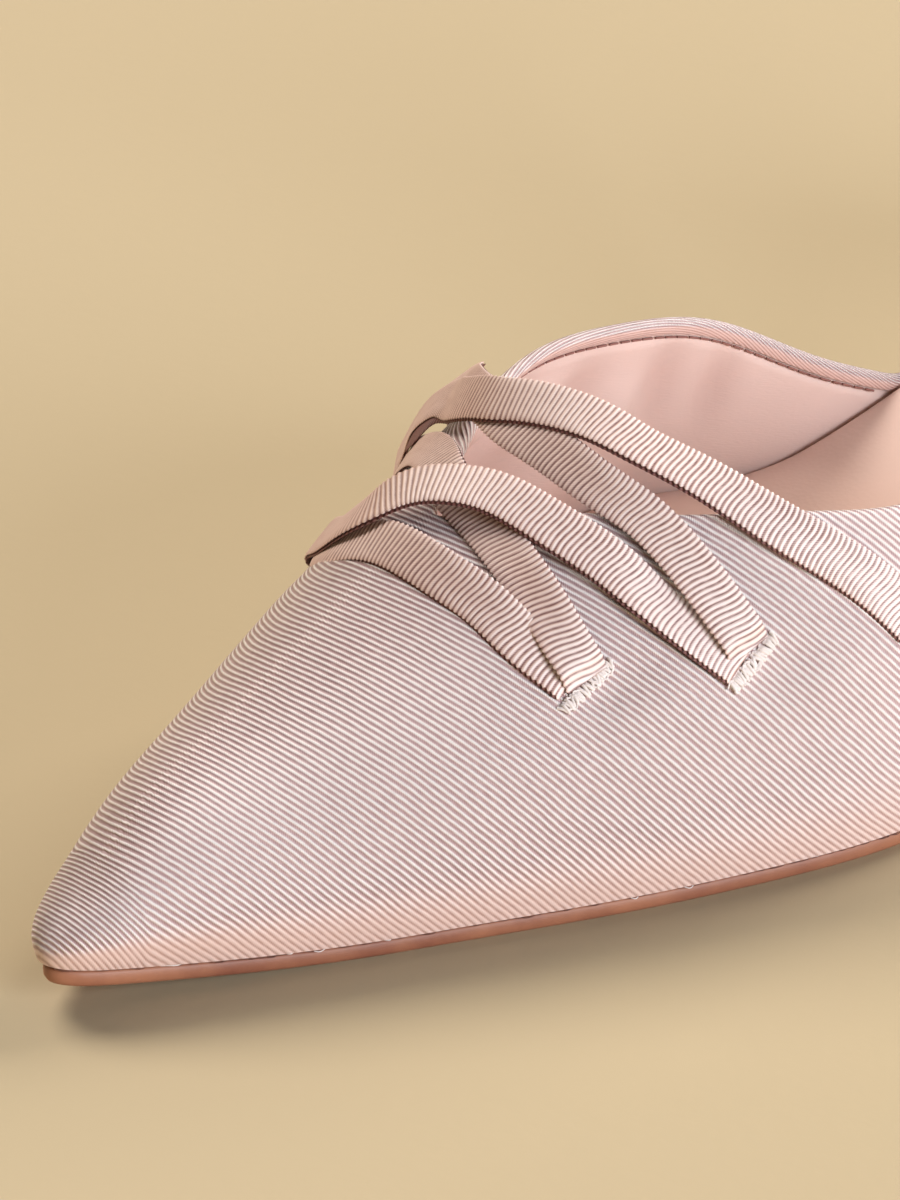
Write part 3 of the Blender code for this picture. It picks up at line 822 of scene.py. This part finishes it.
def ply(path, columns, lift, slide, thick, rib_height, start):
    """One ribbed ply: a closed band whose ribs cross it in a shallow S and end in beads."""
    along, middle, tangent, normal, across = path
    crest, top = band_ring(columns)
    pull = RIB_PULL[0] + RIB_PULL[1] * smooth_step(2.6 * along / along[-1] - 1.0)
    run = along[:, None] + pull[:, None] * np.sin(np.pi * crest * 0.9) + RIB_SLANT * crest
    rib = ridge(run / RIBBON_RIB)
    rounding = (1 - np.abs(crest) ** 5) ** 0.5
    height = np.where(top > 0, thick / 2 + rib_height * (rib - 0.5), -thick / 2) * rounding
    width = RIBBON_WIDTH / 2 * crest * (1 + 0.25 * rib_height * np.abs(crest) ** 6 * (2 * rib - 1))
    points = (
        middle[:, None, :]
        + (height + lift)[..., None] * normal[:, None, :]
        + (width + slide)[..., None] * across[:, None, :]
    )
    weave_map = np.stack([np.broadcast_to(width, run.shape), run], -1)
    return *loft(points, start, inside_out=True), weave_map.reshape(-1, 2)


# Grosgrain, woven of viscose over cotton cords: stiff round ribs, each with a painted
# highlight and a dark furrow that is partly painted shade, the ribs painted lit on the
# lateral flank and in painted shade where they face off it.
grosgrain = ribbed_cloth(
    "grosgrain_ribbed_painted_light",
    rib=RIBBON_RIB,
    thread=RIBBON_THREAD,
    bead_share=0.11,
    sway=0.0,
    painted_light_tones=(
        ("#FFF2EE", "#F2D9D4", "#87605C", 0.50),
        ("#EACFC5", "#C8A399", "#865F59", 0.44),
        ("#D8B8AC", "#CEA99C", "#A77E72", 0.40),
    ),
    painted_light_facing=((0.42, 0.66), (-0.60, -0.30), (0.36, 0.64)),
    finish={"Roughness": 0.42, "IOR": 1.5, "Sheen Weight": 0.15, "Sheen Roughness": 0.5},
    relief=0.05,
)
# Its inner face is painted dark rose all over: painted shade, for the shadow the outer ply casts on it.
inner_ply_in_painted_shade = ribbed_cloth(
    "grosgrain_inner_face_painted_shade",
    rib=RIBBON_RIB,
    thread=RIBBON_THREAD,
    bead_share=0.10,
    sway=0.0,
    painted_light_tones=(("#845650", "#683C37", "#3E1B18", 0.50),) * 3,
    painted_light_facing=((0.45, 0.90), (-0.20, 0.30), (0.10, 0.60)),
    finish={"Roughness": 0.6, "IOR": 1.5},
    relief=0.05,
)
ribbon_ends = {}
for name, rows in RIBBONS.items():
    path = ribbon_path(rows)
    along, middle, tangent, normal, across = path
    ribbon_ends[name] = [tuple(v[k].copy() for v in path[1:]) for k in (0, -1)]
    from_end = np.minimum(along, along[-1] - along)
    middle -= DIVE[1] * smooth_step(1 - from_end / DIVE[0])[:, None] * normal
    toe_side = -np.sign(across[:, 1].mean())
    place, spread, most = SHADE_FLAP.get(name, (0.0, 1.0, 0.0))
    shows = INNER_SHOWS.get(name, INNER_HIDES) + most * np.exp(-(((along - place) / spread) ** 2))
    upper, upper_faces, upper_weave = ply(path, 25, UNDER_PLY + PLY / 2, 0.0, PLY, RIB_HEIGHT, 0)
    slide = toe_side * shows[:, None]
    lower, lower_faces, lower_weave = ply(
        path, 15, UNDER_PLY / 2, slide, UNDER_PLY, UNDER_RIB_HEIGHT, len(upper)
    )
    lower_weave[:, 1] += UNDER_SHIFT
    ribbon = new_piece(
        name,
        np.concatenate([upper, lower]),
        upper_faces + lower_faces,
        [grosgrain, inner_ply_in_painted_shade],
        np.concatenate([upper_weave, lower_weave]),
        [0] * len(upper_faces) + [1] * len(lower_faces),
    )
    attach(ribbon, "root")
    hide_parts("ribbon_" + name)

# ---- Bar tacks -------------------------------------------------------------
# Each slit is closed over its ribbon ends by a narrow band of satin stitches in
# pale thread, a little uneven, with a few loose loops.
TACK_LENGTH = 7.4
TACK_WIDTH = 1.35
TACK_THREAD = 0.20  # radius of a strand
TACK_STITCHES = 27
TACK_ARCH = 0.30  # how high the stitches stand
TACK_SUNK = 0.05
TACK_LOOPS = 9
LOOP_THREAD = 0.12
SLITS = {
    "lateral_toe": [("toe_bar", -1), ("cross_1", -1)],
    "lateral_middle": [("cross_2", -1), ("cross_3", -1)],
    "lateral_rear": [("top_bar", -1)],
    "medial_toe": [("toe_bar", 0), ("cross_2", 0)],
    "medial_middle": [("cross_1", 0), ("top_bar", 0)],
    "medial_rear": [("cross_3", 0)],
}


def thread_tube(path, radius, start, sides=6):
    """A thread along a path, as a closed tube."""
    tangent = np.gradient(path, axis=0)
    tangent /= np.linalg.norm(tangent, axis=1, keepdims=True) + 1e-12
    helper = np.where(np.abs(tangent[:, 2:]) < 0.9, (0.0, 0.0, 1.0), (1.0, 0.0, 0.0))
    one = unit(np.cross(tangent, helper))
    two = np.cross(tangent, one)
    turn = np.arange(sides) * 2 * np.pi / sides
    ring = np.cos(turn)[None, :, None] * one[:, None] + np.sin(turn)[None, :, None] * two[:, None]
    return loft(path[:, None] + np.broadcast_to(radius, len(path))[:, None, None] * ring, start)


def bundle(threads):
    """Points, faces and the faces' materials of many threads, each a path, a radius and
    the number of its material."""
    points, faces, kinds = [], [], []
    for path, radius, kind in threads:
        more, more_faces = thread_tube(path, radius, sum(map(len, points)))
        points.append(more)
        faces += more_faces
        kinds += [kind] * len(more_faces)
    return np.concatenate(points), faces, kinds


# Viscose thread, twisted: near white, with a little sheen.
pale_thread = new_material(
    "viscose_thread_pale",
    {"Roughness": 0.45, "IOR": 1.5, "Sheen Weight": 0.3, "Base Color": linear("#F8EEEA")},
)[0]
for slit, ends in SLITS.items():
    found = [ribbon_ends[name][end] for name, end in ends]
    outward = [f[1] * (1 if end == -1 else -1) for f, (_, end) in zip(found, ends)]
    way = np.mean(outward, axis=0)
    up_way = unit(np.mean([f[2] for f in found], axis=0))
    way = unit(way - up_way * (way @ up_way))
    line = np.cross(up_way, way)
    centre = np.mean([f[0] for f in found], axis=0) + way * (TACK_WIDTH / 2 - 0.15)
    station, girth = RIBBONS[ends[0][0]][ends[0][1]][:2]
    side = np.sign(girth)
    cloth = last_points(station, side, 1 - abs(girth))
    cloth_normal = last_normals(station, side, 1 - abs(girth))
    centre -= cloth_normal * ((centre - cloth) @ cloth_normal)
    threads = []
    for k in range(TACK_STITCHES):
        at = (k / (TACK_STITCHES - 1) - 0.5) * TACK_LENGTH + rng.normal(0, 0.09)
        reach = TACK_WIDTH / 2 * rng.uniform(0.75, 1.2)
        lean = rng.normal(0, 0.22)
        t = np.linspace(-1, 1, 9)[:, None]
        arch = TACK_ARCH * np.sqrt(np.clip(1 - t**4, 0, 1)) + rng.uniform(0.0, 0.16)
        path = centre + line * (at + lean * t) + way * reach * t + cloth_normal * (arch - TACK_SUNK)
        threads.append((path, TACK_THREAD * rng.uniform(0.85, 1.1), 0))
    for k in range(TACK_LOOPS):
        at = rng.uniform(-0.48, 0.48) * TACK_LENGTH
        t = np.linspace(0, 1, 12)[:, None]
        loop = at + rng.uniform(0.8, 2.2) * (t - 0.5) + 0.25 * np.sin(2 * np.pi * t)
        aside = TACK_WIDTH * (0.25 + 0.35 * np.sin(np.pi * t)) * rng.choice([-1, 1])
        path = centre + line * loop + way * aside + cloth_normal * (0.28 + 0.1 * np.sin(np.pi * t))
        threads.append((path, LOOP_THREAD, 0))
    points, faces, kinds = bundle(threads)
    tack = new_piece("bar_tack_" + slit, points, faces, [pale_thread], None, kinds)
    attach(tack, "root")

# ---- Topline stitches ------------------------------------------------------
# One row of lockstitch in darker thread just under the turned-in cloth, which it
# pulls into the lining.
LOCKSTITCH = 1.9
LOCKSTITCH_THREAD = 0.15  # radius
# Polyester thread, twisted: dull, and darker than the cloths it holds.
dark_thread = new_material(
    "polyester_thread_rosewood", {"Roughness": 0.55, "IOR": 1.5, "Base Color": linear("#93655C")}
)[0]
seat_line = rim - (2 * ROLL - 0.30) * rim_normal - (TURN_IN + 0.35) * rim_out
gone = distances(seat_line)
threads = []
for begin in np.arange(6.0, gone[-1] - 8.0, LOCKSTITCH):
    t = np.linspace(begin, begin + LOCKSTITCH * rng.uniform(0.70, 0.92), 6)
    threads.append((along_line(seat_line, gone, t), LOCKSTITCH_THREAD, 0))
points, faces, kinds = bundle(threads)
topline_row = new_piece("topline_stitches", points, faces, [dark_thread], None, kinds)
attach(topline_row, "root")

# ---- Outsole ---------------------------------------------------------------
# Thin leather sole, cut from the bend and dyed terracotta, its edge set and
# polished. It runs from the toe to the breast of the heel.
BREAST = 200.0
SOLE_INSET = 0.6
ARCH_LEAN = 0.16
# Each edge is a list of insets and heights, from the underside to the top.
SOLE_EDGE = [
    (1.6, 0.0), (0.7, 0.03), (0.3, 0.22), (0.05, 0.6),
    (0.0, 1.1), (0.05, 1.7), (0.25, 2.05), (0.7, SOLE),
]


def plate_rows(stations, inset, profile, across, crowned, arch=None):
    """Rows of a plate with the shoe's outline and this profile at its edge; crowned
    swells its top and arch raises its medial edge."""
    share = np.linspace(0, 1, across)[1:-1]
    rows = []
    if arch is None:
        arch = np.zeros(len(stations))
    for station, base, lift in zip(stations, inset, arch):
        sides = {
            side: np.array([feather(station, side, base + back, up) for back, up in profile]).reshape(-1, 3)
            for side in (-1, +1)
        }
        grown = np.linspace(0, 1, len(profile)) ** 2
        sides[-1][:, 2] += lift * grown
        sides[-1][:, 0] -= ARCH_LEAN * lift * grown
        bottom = sides[-1][0] + (sides[1][0] - sides[-1][0]) * share[:, None]
        top = sides[1][-1] + (sides[-1][-1] - sides[1][-1]) * share[:, None]
        top_lift = profile[-1][1] + crowned * np.sin(np.pi * share) ** 0.5
        bottom[:, 2] = clearance(bottom[:, 1]) + profile[0][1]
        top[:, 2] = clearance(top[:, 1]) + top_lift + lift * smooth_step((share - 0.25) / 0.75)
        rows.append(np.concatenate([sides[-1][:1], bottom, sides[1], top, sides[-1][:0:-1]]))
    return np.array(rows)


def mottle(tree, shader, share, dark, pale, ends=(0.0, 1.0)):
    """Gives the shader a colour that a noise moves from a dark to a pale tone."""
    tone = node(tree, "ValToRGB", {"Fac": share})["Color"]
    for stop, colour, end in zip(tree.nodes[-1].color_ramp.elements, (dark, pale), ends):
        stop.color = linear(colour)
        stop.position = end
    tree.links.new(tone, shader.inputs["Base Color"])


# Leather, vegetable tanned, dyed and polished: a mottled red brown with a low shine.
# Its fibres are drawn coarser than the real 0.2 mm, so that they show.
FIBRE = 1.111
MOTTLE = 11.11
leather, tree, shader = new_material(
    "sole_leather_terracotta_polished",
    {"Roughness": 0.52, "IOR": 1.5, "Coat Weight": 0.06, "Coat Roughness": 0.35},
)
place = node(tree, "TexCoord", {})["Object"]
mottled = node(tree, "TexNoise", {"Vector": place, "Scale": 1000 / MOTTLE, "Detail": 5.0})["Fac"]
mottle(tree, shader, mottled, "#8A5440", "#AE7557", (0.35, 0.65))
fibre = node(tree, "TexNoise", {"Vector": place, "Scale": 1000 / FIBRE, "Detail": 4.0})["Fac"]
bump = node(tree, "Bump", {"Height": fibre, "Distance": 0.00005})
tree.links.new(bump["Normal"], shader.inputs["Normal"])

stations = np.concatenate([3.0 * np.linspace(0, 1, 14) ** 2, np.linspace(3.0, BREAST - GAP, 150)[1:]])
points, faces = loft(plate_rows(stations, np.full(len(stations), SOLE_INSET), SOLE_EDGE, 12, 0.0))
outsole = new_piece("leather_outsole", points, faces, [leather])
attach(outsole, "root")
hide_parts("outsole")

# ---- Feather seam ----------------------------------------------------------
# The line where the cloth is drawn under over the sole: cement and cut yarn, dark
# brown and uneven, with a few pale yarn ends that have sprung out.
SEAM_LINE = 0.11  # radius of the line, how it varies, and how far in and up it lies
SEAM_UNEVEN = 0.035
SEAM_IN = 0.45
SEAM_UP = SOLE + 0.12
YARN_ENDS = 70
YARN_END = 0.055
# Dried cement over cut yarn: matt and clotted, dark brown in its hollows.
CLOT = 1.111
cement, tree, shader = new_material("cement_and_yarn_dark", {"Roughness": 0.6, "IOR": 1.5})
place = node(tree, "TexCoord", {})["Object"]
clotted = node(tree, "TexNoise", {"Vector": place, "Scale": 1000 / CLOT, "Detail": 2.0})["Fac"]
mottle(tree, shader, clotted, "#4A2922", "#8C5C4C")
threads = []
for side in (-1, +1):
    run = np.linspace(0.3, BREAST - 2.0, 900)
    wander = np.convolve(rng.normal(0, 1, len(run) + 8), np.hanning(9), "valid")
    thick = SEAM_LINE + SEAM_UNEVEN * np.clip(wander, -2, 3)
    threads.append((feather(run, side, SEAM_IN - 0.02 * wander, SEAM_UP), thick, 0))
    for begin in rng.uniform(1.0, BREAST - 5.0, YARN_ENDS):
        t = np.linspace(0, 1, 6)
        length = rng.uniform(0.6, 2.0)
        lift = rng.uniform(-0.15, 0.45) * np.sin(np.pi * t * rng.uniform(0.5, 1.0))
        path = feather(begin + length * t, side, 0.40 - 0.35 * np.sin(np.pi * t), SEAM_UP + lift)
        threads.append((path, YARN_END, int(rng.uniform() < 0.4)))
points, faces, kinds = bundle(threads)
seam_line = new_piece("feather_seam", points, faces, [cement, pale_thread], None, kinds)
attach(seam_line, "root")

# ---- Insole ----------------------------------------------------------------
# A board covered by a padded sock of thin goat leather. Behind the upper it widens
# to the whole outline, with the leather wrapped round its edge.
SOCK_TOP = 5.1
SOCK_EDGE = [
    (1.2, 2.3), (0.3, 2.35), (0.05, 2.7), (0.0, 3.4),
    (0.0, 4.1), (0.12, 4.65), (0.5, 4.98), (1.2, SOCK_TOP),
]
WIDENS = 171.0  # station where it starts to widen behind the upper
# Station and rise of the pad under the medial arch.
ARCH_PAD = [
    (62.0, 0.0), (74.0, 0.4), (88.0, 2.4), (100.0, 4.6), (110.0, 5.4), (120.2, 4.6),
    (125.6, 3.1), (131.7, 1.7), (139.0, 0.2), (150.0, 0.0),
]
# Goat leather, drum dyed and left soft: nearly matt, cloudy, with fine pores, which are
# drawn coarser than the real 0.2 mm so that they show.
PORE = 0.6667
KID_CLOUD = 22.2
kid, tree, shader = new_material(
    "sock_leather_goat_soft",
    {"Roughness": 0.5, "IOR": 1.5, "Sheen Weight": 0.15, "Sheen Roughness": 0.4},
)
place = node(tree, "TexCoord", {})["Object"]
cloudy = node(tree, "TexNoise", {"Vector": place, "Scale": 1000 / KID_CLOUD, "Detail": 3.0})["Fac"]
vary(tree, shader, linear("#E7C6B8"), cloudy, 0.93, 1.05)
pores = node(tree, "TexVoronoi", {"Vector": place, "Scale": 1000 / PORE})["Distance"]
bump = node(tree, "Bump", {"Height": pores, "Distance": 0.00002})
tree.links.new(bump["Normal"], shader.inputs["Normal"])

stations = np.concatenate(
    [
        np.linspace(2.6, WIDENS, 110),
        np.linspace(WIDENS, LENGTH - 8.0, 50)[1:],
        LENGTH - 8.0 * np.cos(np.linspace(0, np.pi / 2, 16))[1:],
    ]
)
stations[-1] = LENGTH
inner = WALL + 2 * GAP
inset = inner - (inner - 0.1) * smooth_step((stations - WIDENS) / 8.0)
arch = curve(*np.array(ARCH_PAD).T)(np.clip(stations, ARCH_PAD[0][0], ARCH_PAD[-1][0]))
points, faces = loft(plate_rows(stations, inset, SOCK_EDGE, 24, 0.35, np.maximum(arch, 0.0)))
sock = new_piece("padded_sock", points, faces, [kid])
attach(sock, "root")
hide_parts("insole")

# ---- Sling strap -----------------------------------------------------------
# One band of the same faille, folded round a tape and stitched along both edges,
# lined with satin. Its ends go down between the insole and the sole.
STRAP_WIDTH = 9.0
STRAP_THICK = 1.5
STRAP_RISE = 58.0
STITCH_IN = 1.1
STITCH_DENT = (0.35, 0.14)  # half width and depth of the groove along each row
STITCH = 2.2
STITCH_THREAD = 0.13  # radius
ROOT = 8.0  # how far each end runs on, down into the sole
# Station, half width of the loop on each side, and height above the bed of the shoe.
STRAP = np.array(
    [
        (166.5, 26.8, 20.2, 7.0),
        (171.0, 27.2, 20.7, 10.8),
        (182.0, 29.0, 23.5, 19.5),
        (198.0, 30.6, 27.2, 30.5),
        (216.0, 29.6, 28.2, 42.5),
        (232.0, 24.6, 24.2, 51.5),
        (243.0, 16.4, 16.4, 56.3),
        (248.6, 7.0, 7.0, STRAP_RISE),
    ]
)
lateral = STRAP[:, [1, 0, 3]]
medial = STRAP[::-1, [2, 0, 3]] * (-1, 1, 1)
knots = np.concatenate([lateral, [[0.0, 250.2, STRAP_RISE + 0.3]], medial])
knots[:, 2] += clearance(np.minimum(knots[:, 1], BREAST))
knots[:, 2] += (clearance(SEAT_START) - clearance(BREAST)) * smooth_step((knots[:, 1] - 180.0) / 60.0)
gone = distances(knots)
samples = np.linspace(-ROOT, gone[-1] + ROOT, 420)
inside_run = np.clip(samples, 0, gone[-1])
path = np.stack([curve(gone, knots[:, k])(inside_run) for k in range(3)], 1)
first, last = np.searchsorted(samples, (0.0, gone[-1])) - (0, 1)
lead = unit(path[np.searchsorted(samples, 0.5)] - path[first])
tail = unit(path[last] - path[np.searchsorted(samples, gone[-1] - 0.5) - 1])
path += np.minimum(samples, 0)[:, None] * lead + np.maximum(samples - gone[-1], 0)[:, None] * tail
tangent = unit(np.gradient(path, axis=0))
out = unit(np.cross(tangent, (0.0, 0.0, 1.0)))
across = unit(np.cross(tangent, out))
ring, ring_face = band_ring(17)
ring_width = ring * STRAP_WIDTH / 2
from_stitch = np.abs(ring_width) - (STRAP_WIDTH / 2 - STITCH_IN)
dent = STITCH_DENT[1] * np.exp(-((from_stitch / STITCH_DENT[0]) ** 2))
ring_out = ring_face * (np.sqrt(1 - np.abs(ring) ** 7) * STRAP_THICK / 2 - dent)
rows = path[:, None] + ring_width[:, None] * across[:, None] + ring_out[:, None] * out[:, None]
rows[..., 2] = np.maximum(rows[..., 2], clearance(rows[..., 1]) + SOLE + 0.08)
points, faces = loft(rows, inside_out=True)
weave_map = np.stack(np.broadcast_arrays(ring_width, samples[:, None]), -1).reshape(-1, 2)
outside = np.broadcast_to(ring_face > 0, (len(rows) - 1, len(ring))).reshape(-1)
kinds = np.concatenate([np.where(outside, 0, 1), [0, 0]])
strap = new_piece("sling_band", points, faces, [faille, satin], weave_map, kinds)
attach(strap, "root")
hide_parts("sling_strap")

threads = []
for level in (-1, 1):
    line = path + across * level * (STRAP_WIDTH / 2 - STITCH_IN) + out * (STRAP_THICK / 2 - 0.10)
    for begin in np.arange(0.0, gone[-1], STITCH):
        t = np.linspace(begin + 0.15, begin + STITCH - 0.15, 7)
        arch = 0.10 * np.sin(np.linspace(0, np.pi, 7)) - 0.06
        stitch = along_line(line, samples, t) + arch[:, None] * along_line(out, samples, t)
        threads.append((stitch, STITCH_THREAD, 0))
points, faces, kinds = bundle(threads)
stitches = new_piece("sling_stitches", points, faces, [pale_thread], None, kinds)
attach(stitches, "root")

# ---- Heel ------------------------------------------------------------------
# A low turned block, moulded plastic under the same faille, which is stretched
# round it with the ribs upright and closed at the breast.
TOP_PIECE = 5.0
# Height between the foot (0) and the seat (1), stations of front and back, half width.
HEEL = np.array(
    [
        (0.00, 230.0, 244.5, 6.8),
        (0.16, 229.6, 244.9, 7.0),
        (0.38, 227.2, 246.3, 8.4),
        (0.58, 223.2, 248.0, 10.8),
        (0.76, 217.0, 249.8, 14.8),
        (0.90, 208.4, 251.0, 19.8),
    ]
)
SQUARISH = 0.86
BACK_COLUMN = 24  # middle of the columns that go round the back
HEEL_ROWS = 70
heel_turn = np.linspace(-np.pi / 2, np.pi / 2, 2 * BACK_COLUMN + 1)


def close_breast(ring):
    """Adds the points across the flat front of a ring."""
    share = np.linspace(0, 1, 12)[1:-1, None]
    return np.concatenate([ring, ring[-1] + (ring[0] - ring[-1]) * share])


def heel_ring(front, back, half, height):
    """A section of the heel: straight breast in front, round behind."""
    xs = half * np.sign(np.sin(heel_turn)) * np.abs(np.sin(heel_turn)) ** SQUARISH
    ys = front + (back - front) * np.cos(heel_turn) ** SQUARISH
    return close_breast(np.stack([xs, ys, np.full(len(xs), height)], -1))


foot_height = TOP_PIECE + GAP
seat_station = BREAST + (LENGTH - BREAST - 0.3) * np.cos(heel_turn)
seat = feather(np.minimum(seat_station, LENGTH - 0.3), np.where(heel_turn >= 0, 1, -1), 0.3)
seat[BACK_COLUMN] = (0.0, LENGTH - 0.4, 0.0)
seat = close_breast(seat)
seat[:, 2] = clearance(seat[:, 1]) + SOLE
rings = [heel_ring(*row[1:], 0.0) for row in HEEL]
for ring, row in zip(rings, HEEL):
    ring[:, 2] = foot_height + (seat[:, 2] - foot_height) * row[0]
rings = np.array(rings + [seat])
levels = np.append(HEEL[:, 0], 1.0)
heel_rows = np.empty((HEEL_ROWS, *seat.shape))
fine = np.linspace(0, 1, HEEL_ROWS)
for k in range(seat.shape[0]):
    for axis in range(3):
        heel_rows[:, k, axis] = curve(levels, rings[:, k, axis])(fine)
around_heel = np.array([distances(row) for row in heel_rows])
around_heel -= around_heel[:, BACK_COLUMN, None]
points, faces = loft(heel_rows[::-1], inside_out=True)
weave_map = np.stack([heel_rows[..., 2], around_heel], -1)[::-1].reshape(-1, 2)
heel = new_piece("covered_heel", points, faces, [faille], weave_map)
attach(heel, "root")
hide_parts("heel")

# ---- Top piece -------------------------------------------------------------
# The wearing tip under the heel: moulded polyurethane, matt, pinned on. It is a
# little larger than the foot of the heel, with its lower edge rounded.
# Height of each level, and how far in from the widest it lies:
TIP_LEVELS = [(0.0, 0.9), (0.02, 0.45), (0.25, 0.1), (0.6, 0.0), (4.4, 0.0), (4.8, 0.08), (TOP_PIECE, 0.3)]
TIP_PAST_HEEL = 0.2
# Polyurethane, moulded: an even matt brown with the faint grain of its mould, drawn
# coarse enough to show.
MOULD_GRAIN = 1.4286
polyurethane, tree, shader = new_material("polyurethane_moulded_matt", {"Roughness": 0.6, "IOR": 1.5})
place = node(tree, "TexCoord", {})["Object"]
grain = node(tree, "TexNoise", {"Vector": place, "Scale": 1000 / MOULD_GRAIN, "Detail": 3.0})["Fac"]
mottle(tree, shader, grain, "#8A5B47", "#9C6A53")
bump = node(tree, "Bump", {"Height": grain, "Distance": 0.00005})
tree.links.new(bump["Normal"], shader.inputs["Normal"])
front, back, half = HEEL[0][1:]
rows = []
for height, inset in TIP_LEVELS:
    grow = TIP_PAST_HEEL - inset
    rows.append(heel_ring(front - grow, back + grow, half + grow, height))
points, faces = loft(np.array(rows))
top_piece = new_piece("heel_tip", points, faces, [polyurethane])
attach(top_piece, "root")
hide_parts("top_piece")

# ---- Floor, light and camera -----------------------------------------------
# Plain pale paper that rises in a wide cove all round, so that no edge shows, lit
# by large soft lamps.
PAPER = "#C1B293"
COVE_RADIUS = 9.0
COVE_RISE = 4.5
# Paper, uncoated: matt, a little uneven, with a tooth drawn coarser than the real one.
TOOTH = 2.0
PAPER_CLOUD = 166.7
paper, tree, shader = new_material("paper_matt_uncoated", {"Roughness": 0.9, "Specular IOR Level": 0.2})
place = node(tree, "TexCoord", {})["Object"]
cloudy = node(tree, "TexNoise", {"Vector": place, "Scale": 1000 / PAPER_CLOUD, "Detail": 2.0})["Fac"]
vary(tree, shader, linear(PAPER), cloudy, 0.985, 1.015)
tooth = node(tree, "TexNoise", {"Vector": place, "Scale": 1000 / TOOTH, "Detail": 3.0})["Fac"]
bump = node(tree, "Bump", {"Height": tooth, "Distance": 0.00003})
tree.links.new(bump["Normal"], shader.inputs["Normal"])
turn = np.linspace(0, 2 * np.pi, 97)[:-1]
rise = np.linspace(0, np.pi / 2, 13)
flat = COVE_RADIUS - COVE_RISE
reach = np.concatenate([np.linspace(0.02, flat, 5)[:-1], flat + COVE_RISE * np.sin(rise)])[:, None]
height = np.concatenate([np.zeros(4), COVE_RISE * (1 - np.cos(rise))])[:, None]
bowl = np.stack(np.broadcast_arrays(reach * np.cos(turn), reach * np.sin(turn), height), -1)
cove_faces = quads(len(reach), len(turn), closed=True).tolist() + [list(range(len(turn)))]
cove = new_piece("floor", bowl.reshape(-1, 3) * 1000 + CENTRE, cove_faces, [paper])

WORLD = 0.02
world = bpy.data.worlds.new("studio")
world.use_nodes = True
world.node_tree.nodes["Background"].inputs["Color"].default_value = linear("#F7F3EE")
world.node_tree.nodes["Background"].inputs["Strength"].default_value = WORLD
bpy.context.scene.world = world
bpy.context.scene.view_settings.view_transform = "Standard"

# Azimuth, elevation, distance, size in metres, watts and colour of each lamp.
LAMPS = {
    "back": (182.0, 32.0, 6.0, 3.0, 285.0, "#FFF4E8"),
    "side": (268.0, 50.0, 6.0, 3.4, 310.0, "#FFF4E8"),
    "front": (93.0, 14.0, 6.0, 4.0, 450.0, "#F3F6FF"),
}
LAMP_AIM = Vector((0.0, -0.06, 0.02))
for name, (azimuth, elevation, distance, size, power, tint) in LAMPS.items():
    light = bpy.data.lights.new(name, "AREA")
    light.shape = "DISK"
    light.size = size
    light.energy = power
    light.color = linear(tint)[:3]
    a, e = math.radians(azimuth), math.radians(elevation)
    way = Vector((math.sin(a) * math.cos(e), -math.cos(a) * math.cos(e), math.sin(e)))
    lamp = bpy.data.objects.new(name, light)
    lamp.location = LAMP_AIM + distance * way
    lamp.rotation_euler = way.to_track_quat("Z", "Y").to_euler()
    bpy.context.scene.collection.objects.link(lamp)

AZIMUTH = math.radians(45.5)
ELEVATION = math.radians(26.0)
AIM = np.array([0.00736, -0.075356, 0.035066])
CAMERA_DISTANCE = 0.7
CAMERA_LENS = 260.4
camera_data = bpy.data.cameras.new("camera")
camera_data.sensor_fit = "HORIZONTAL"
camera_data.sensor_width = 36.0
camera_data.lens = CAMERA_LENS
camera = bpy.data.objects.new("camera", camera_data)
level = math.cos(ELEVATION)
back = np.array([math.sin(AZIMUTH) * level, -math.cos(AZIMUTH) * level, math.sin(ELEVATION)])
camera.location = AIM + CAMERA_DISTANCE * back
camera.rotation_euler = (math.pi / 2 - ELEVATION, 0.0, AZIMUTH)
bpy.context.scene.collection.objects.link(camera)
bpy.context.scene.camera = camera
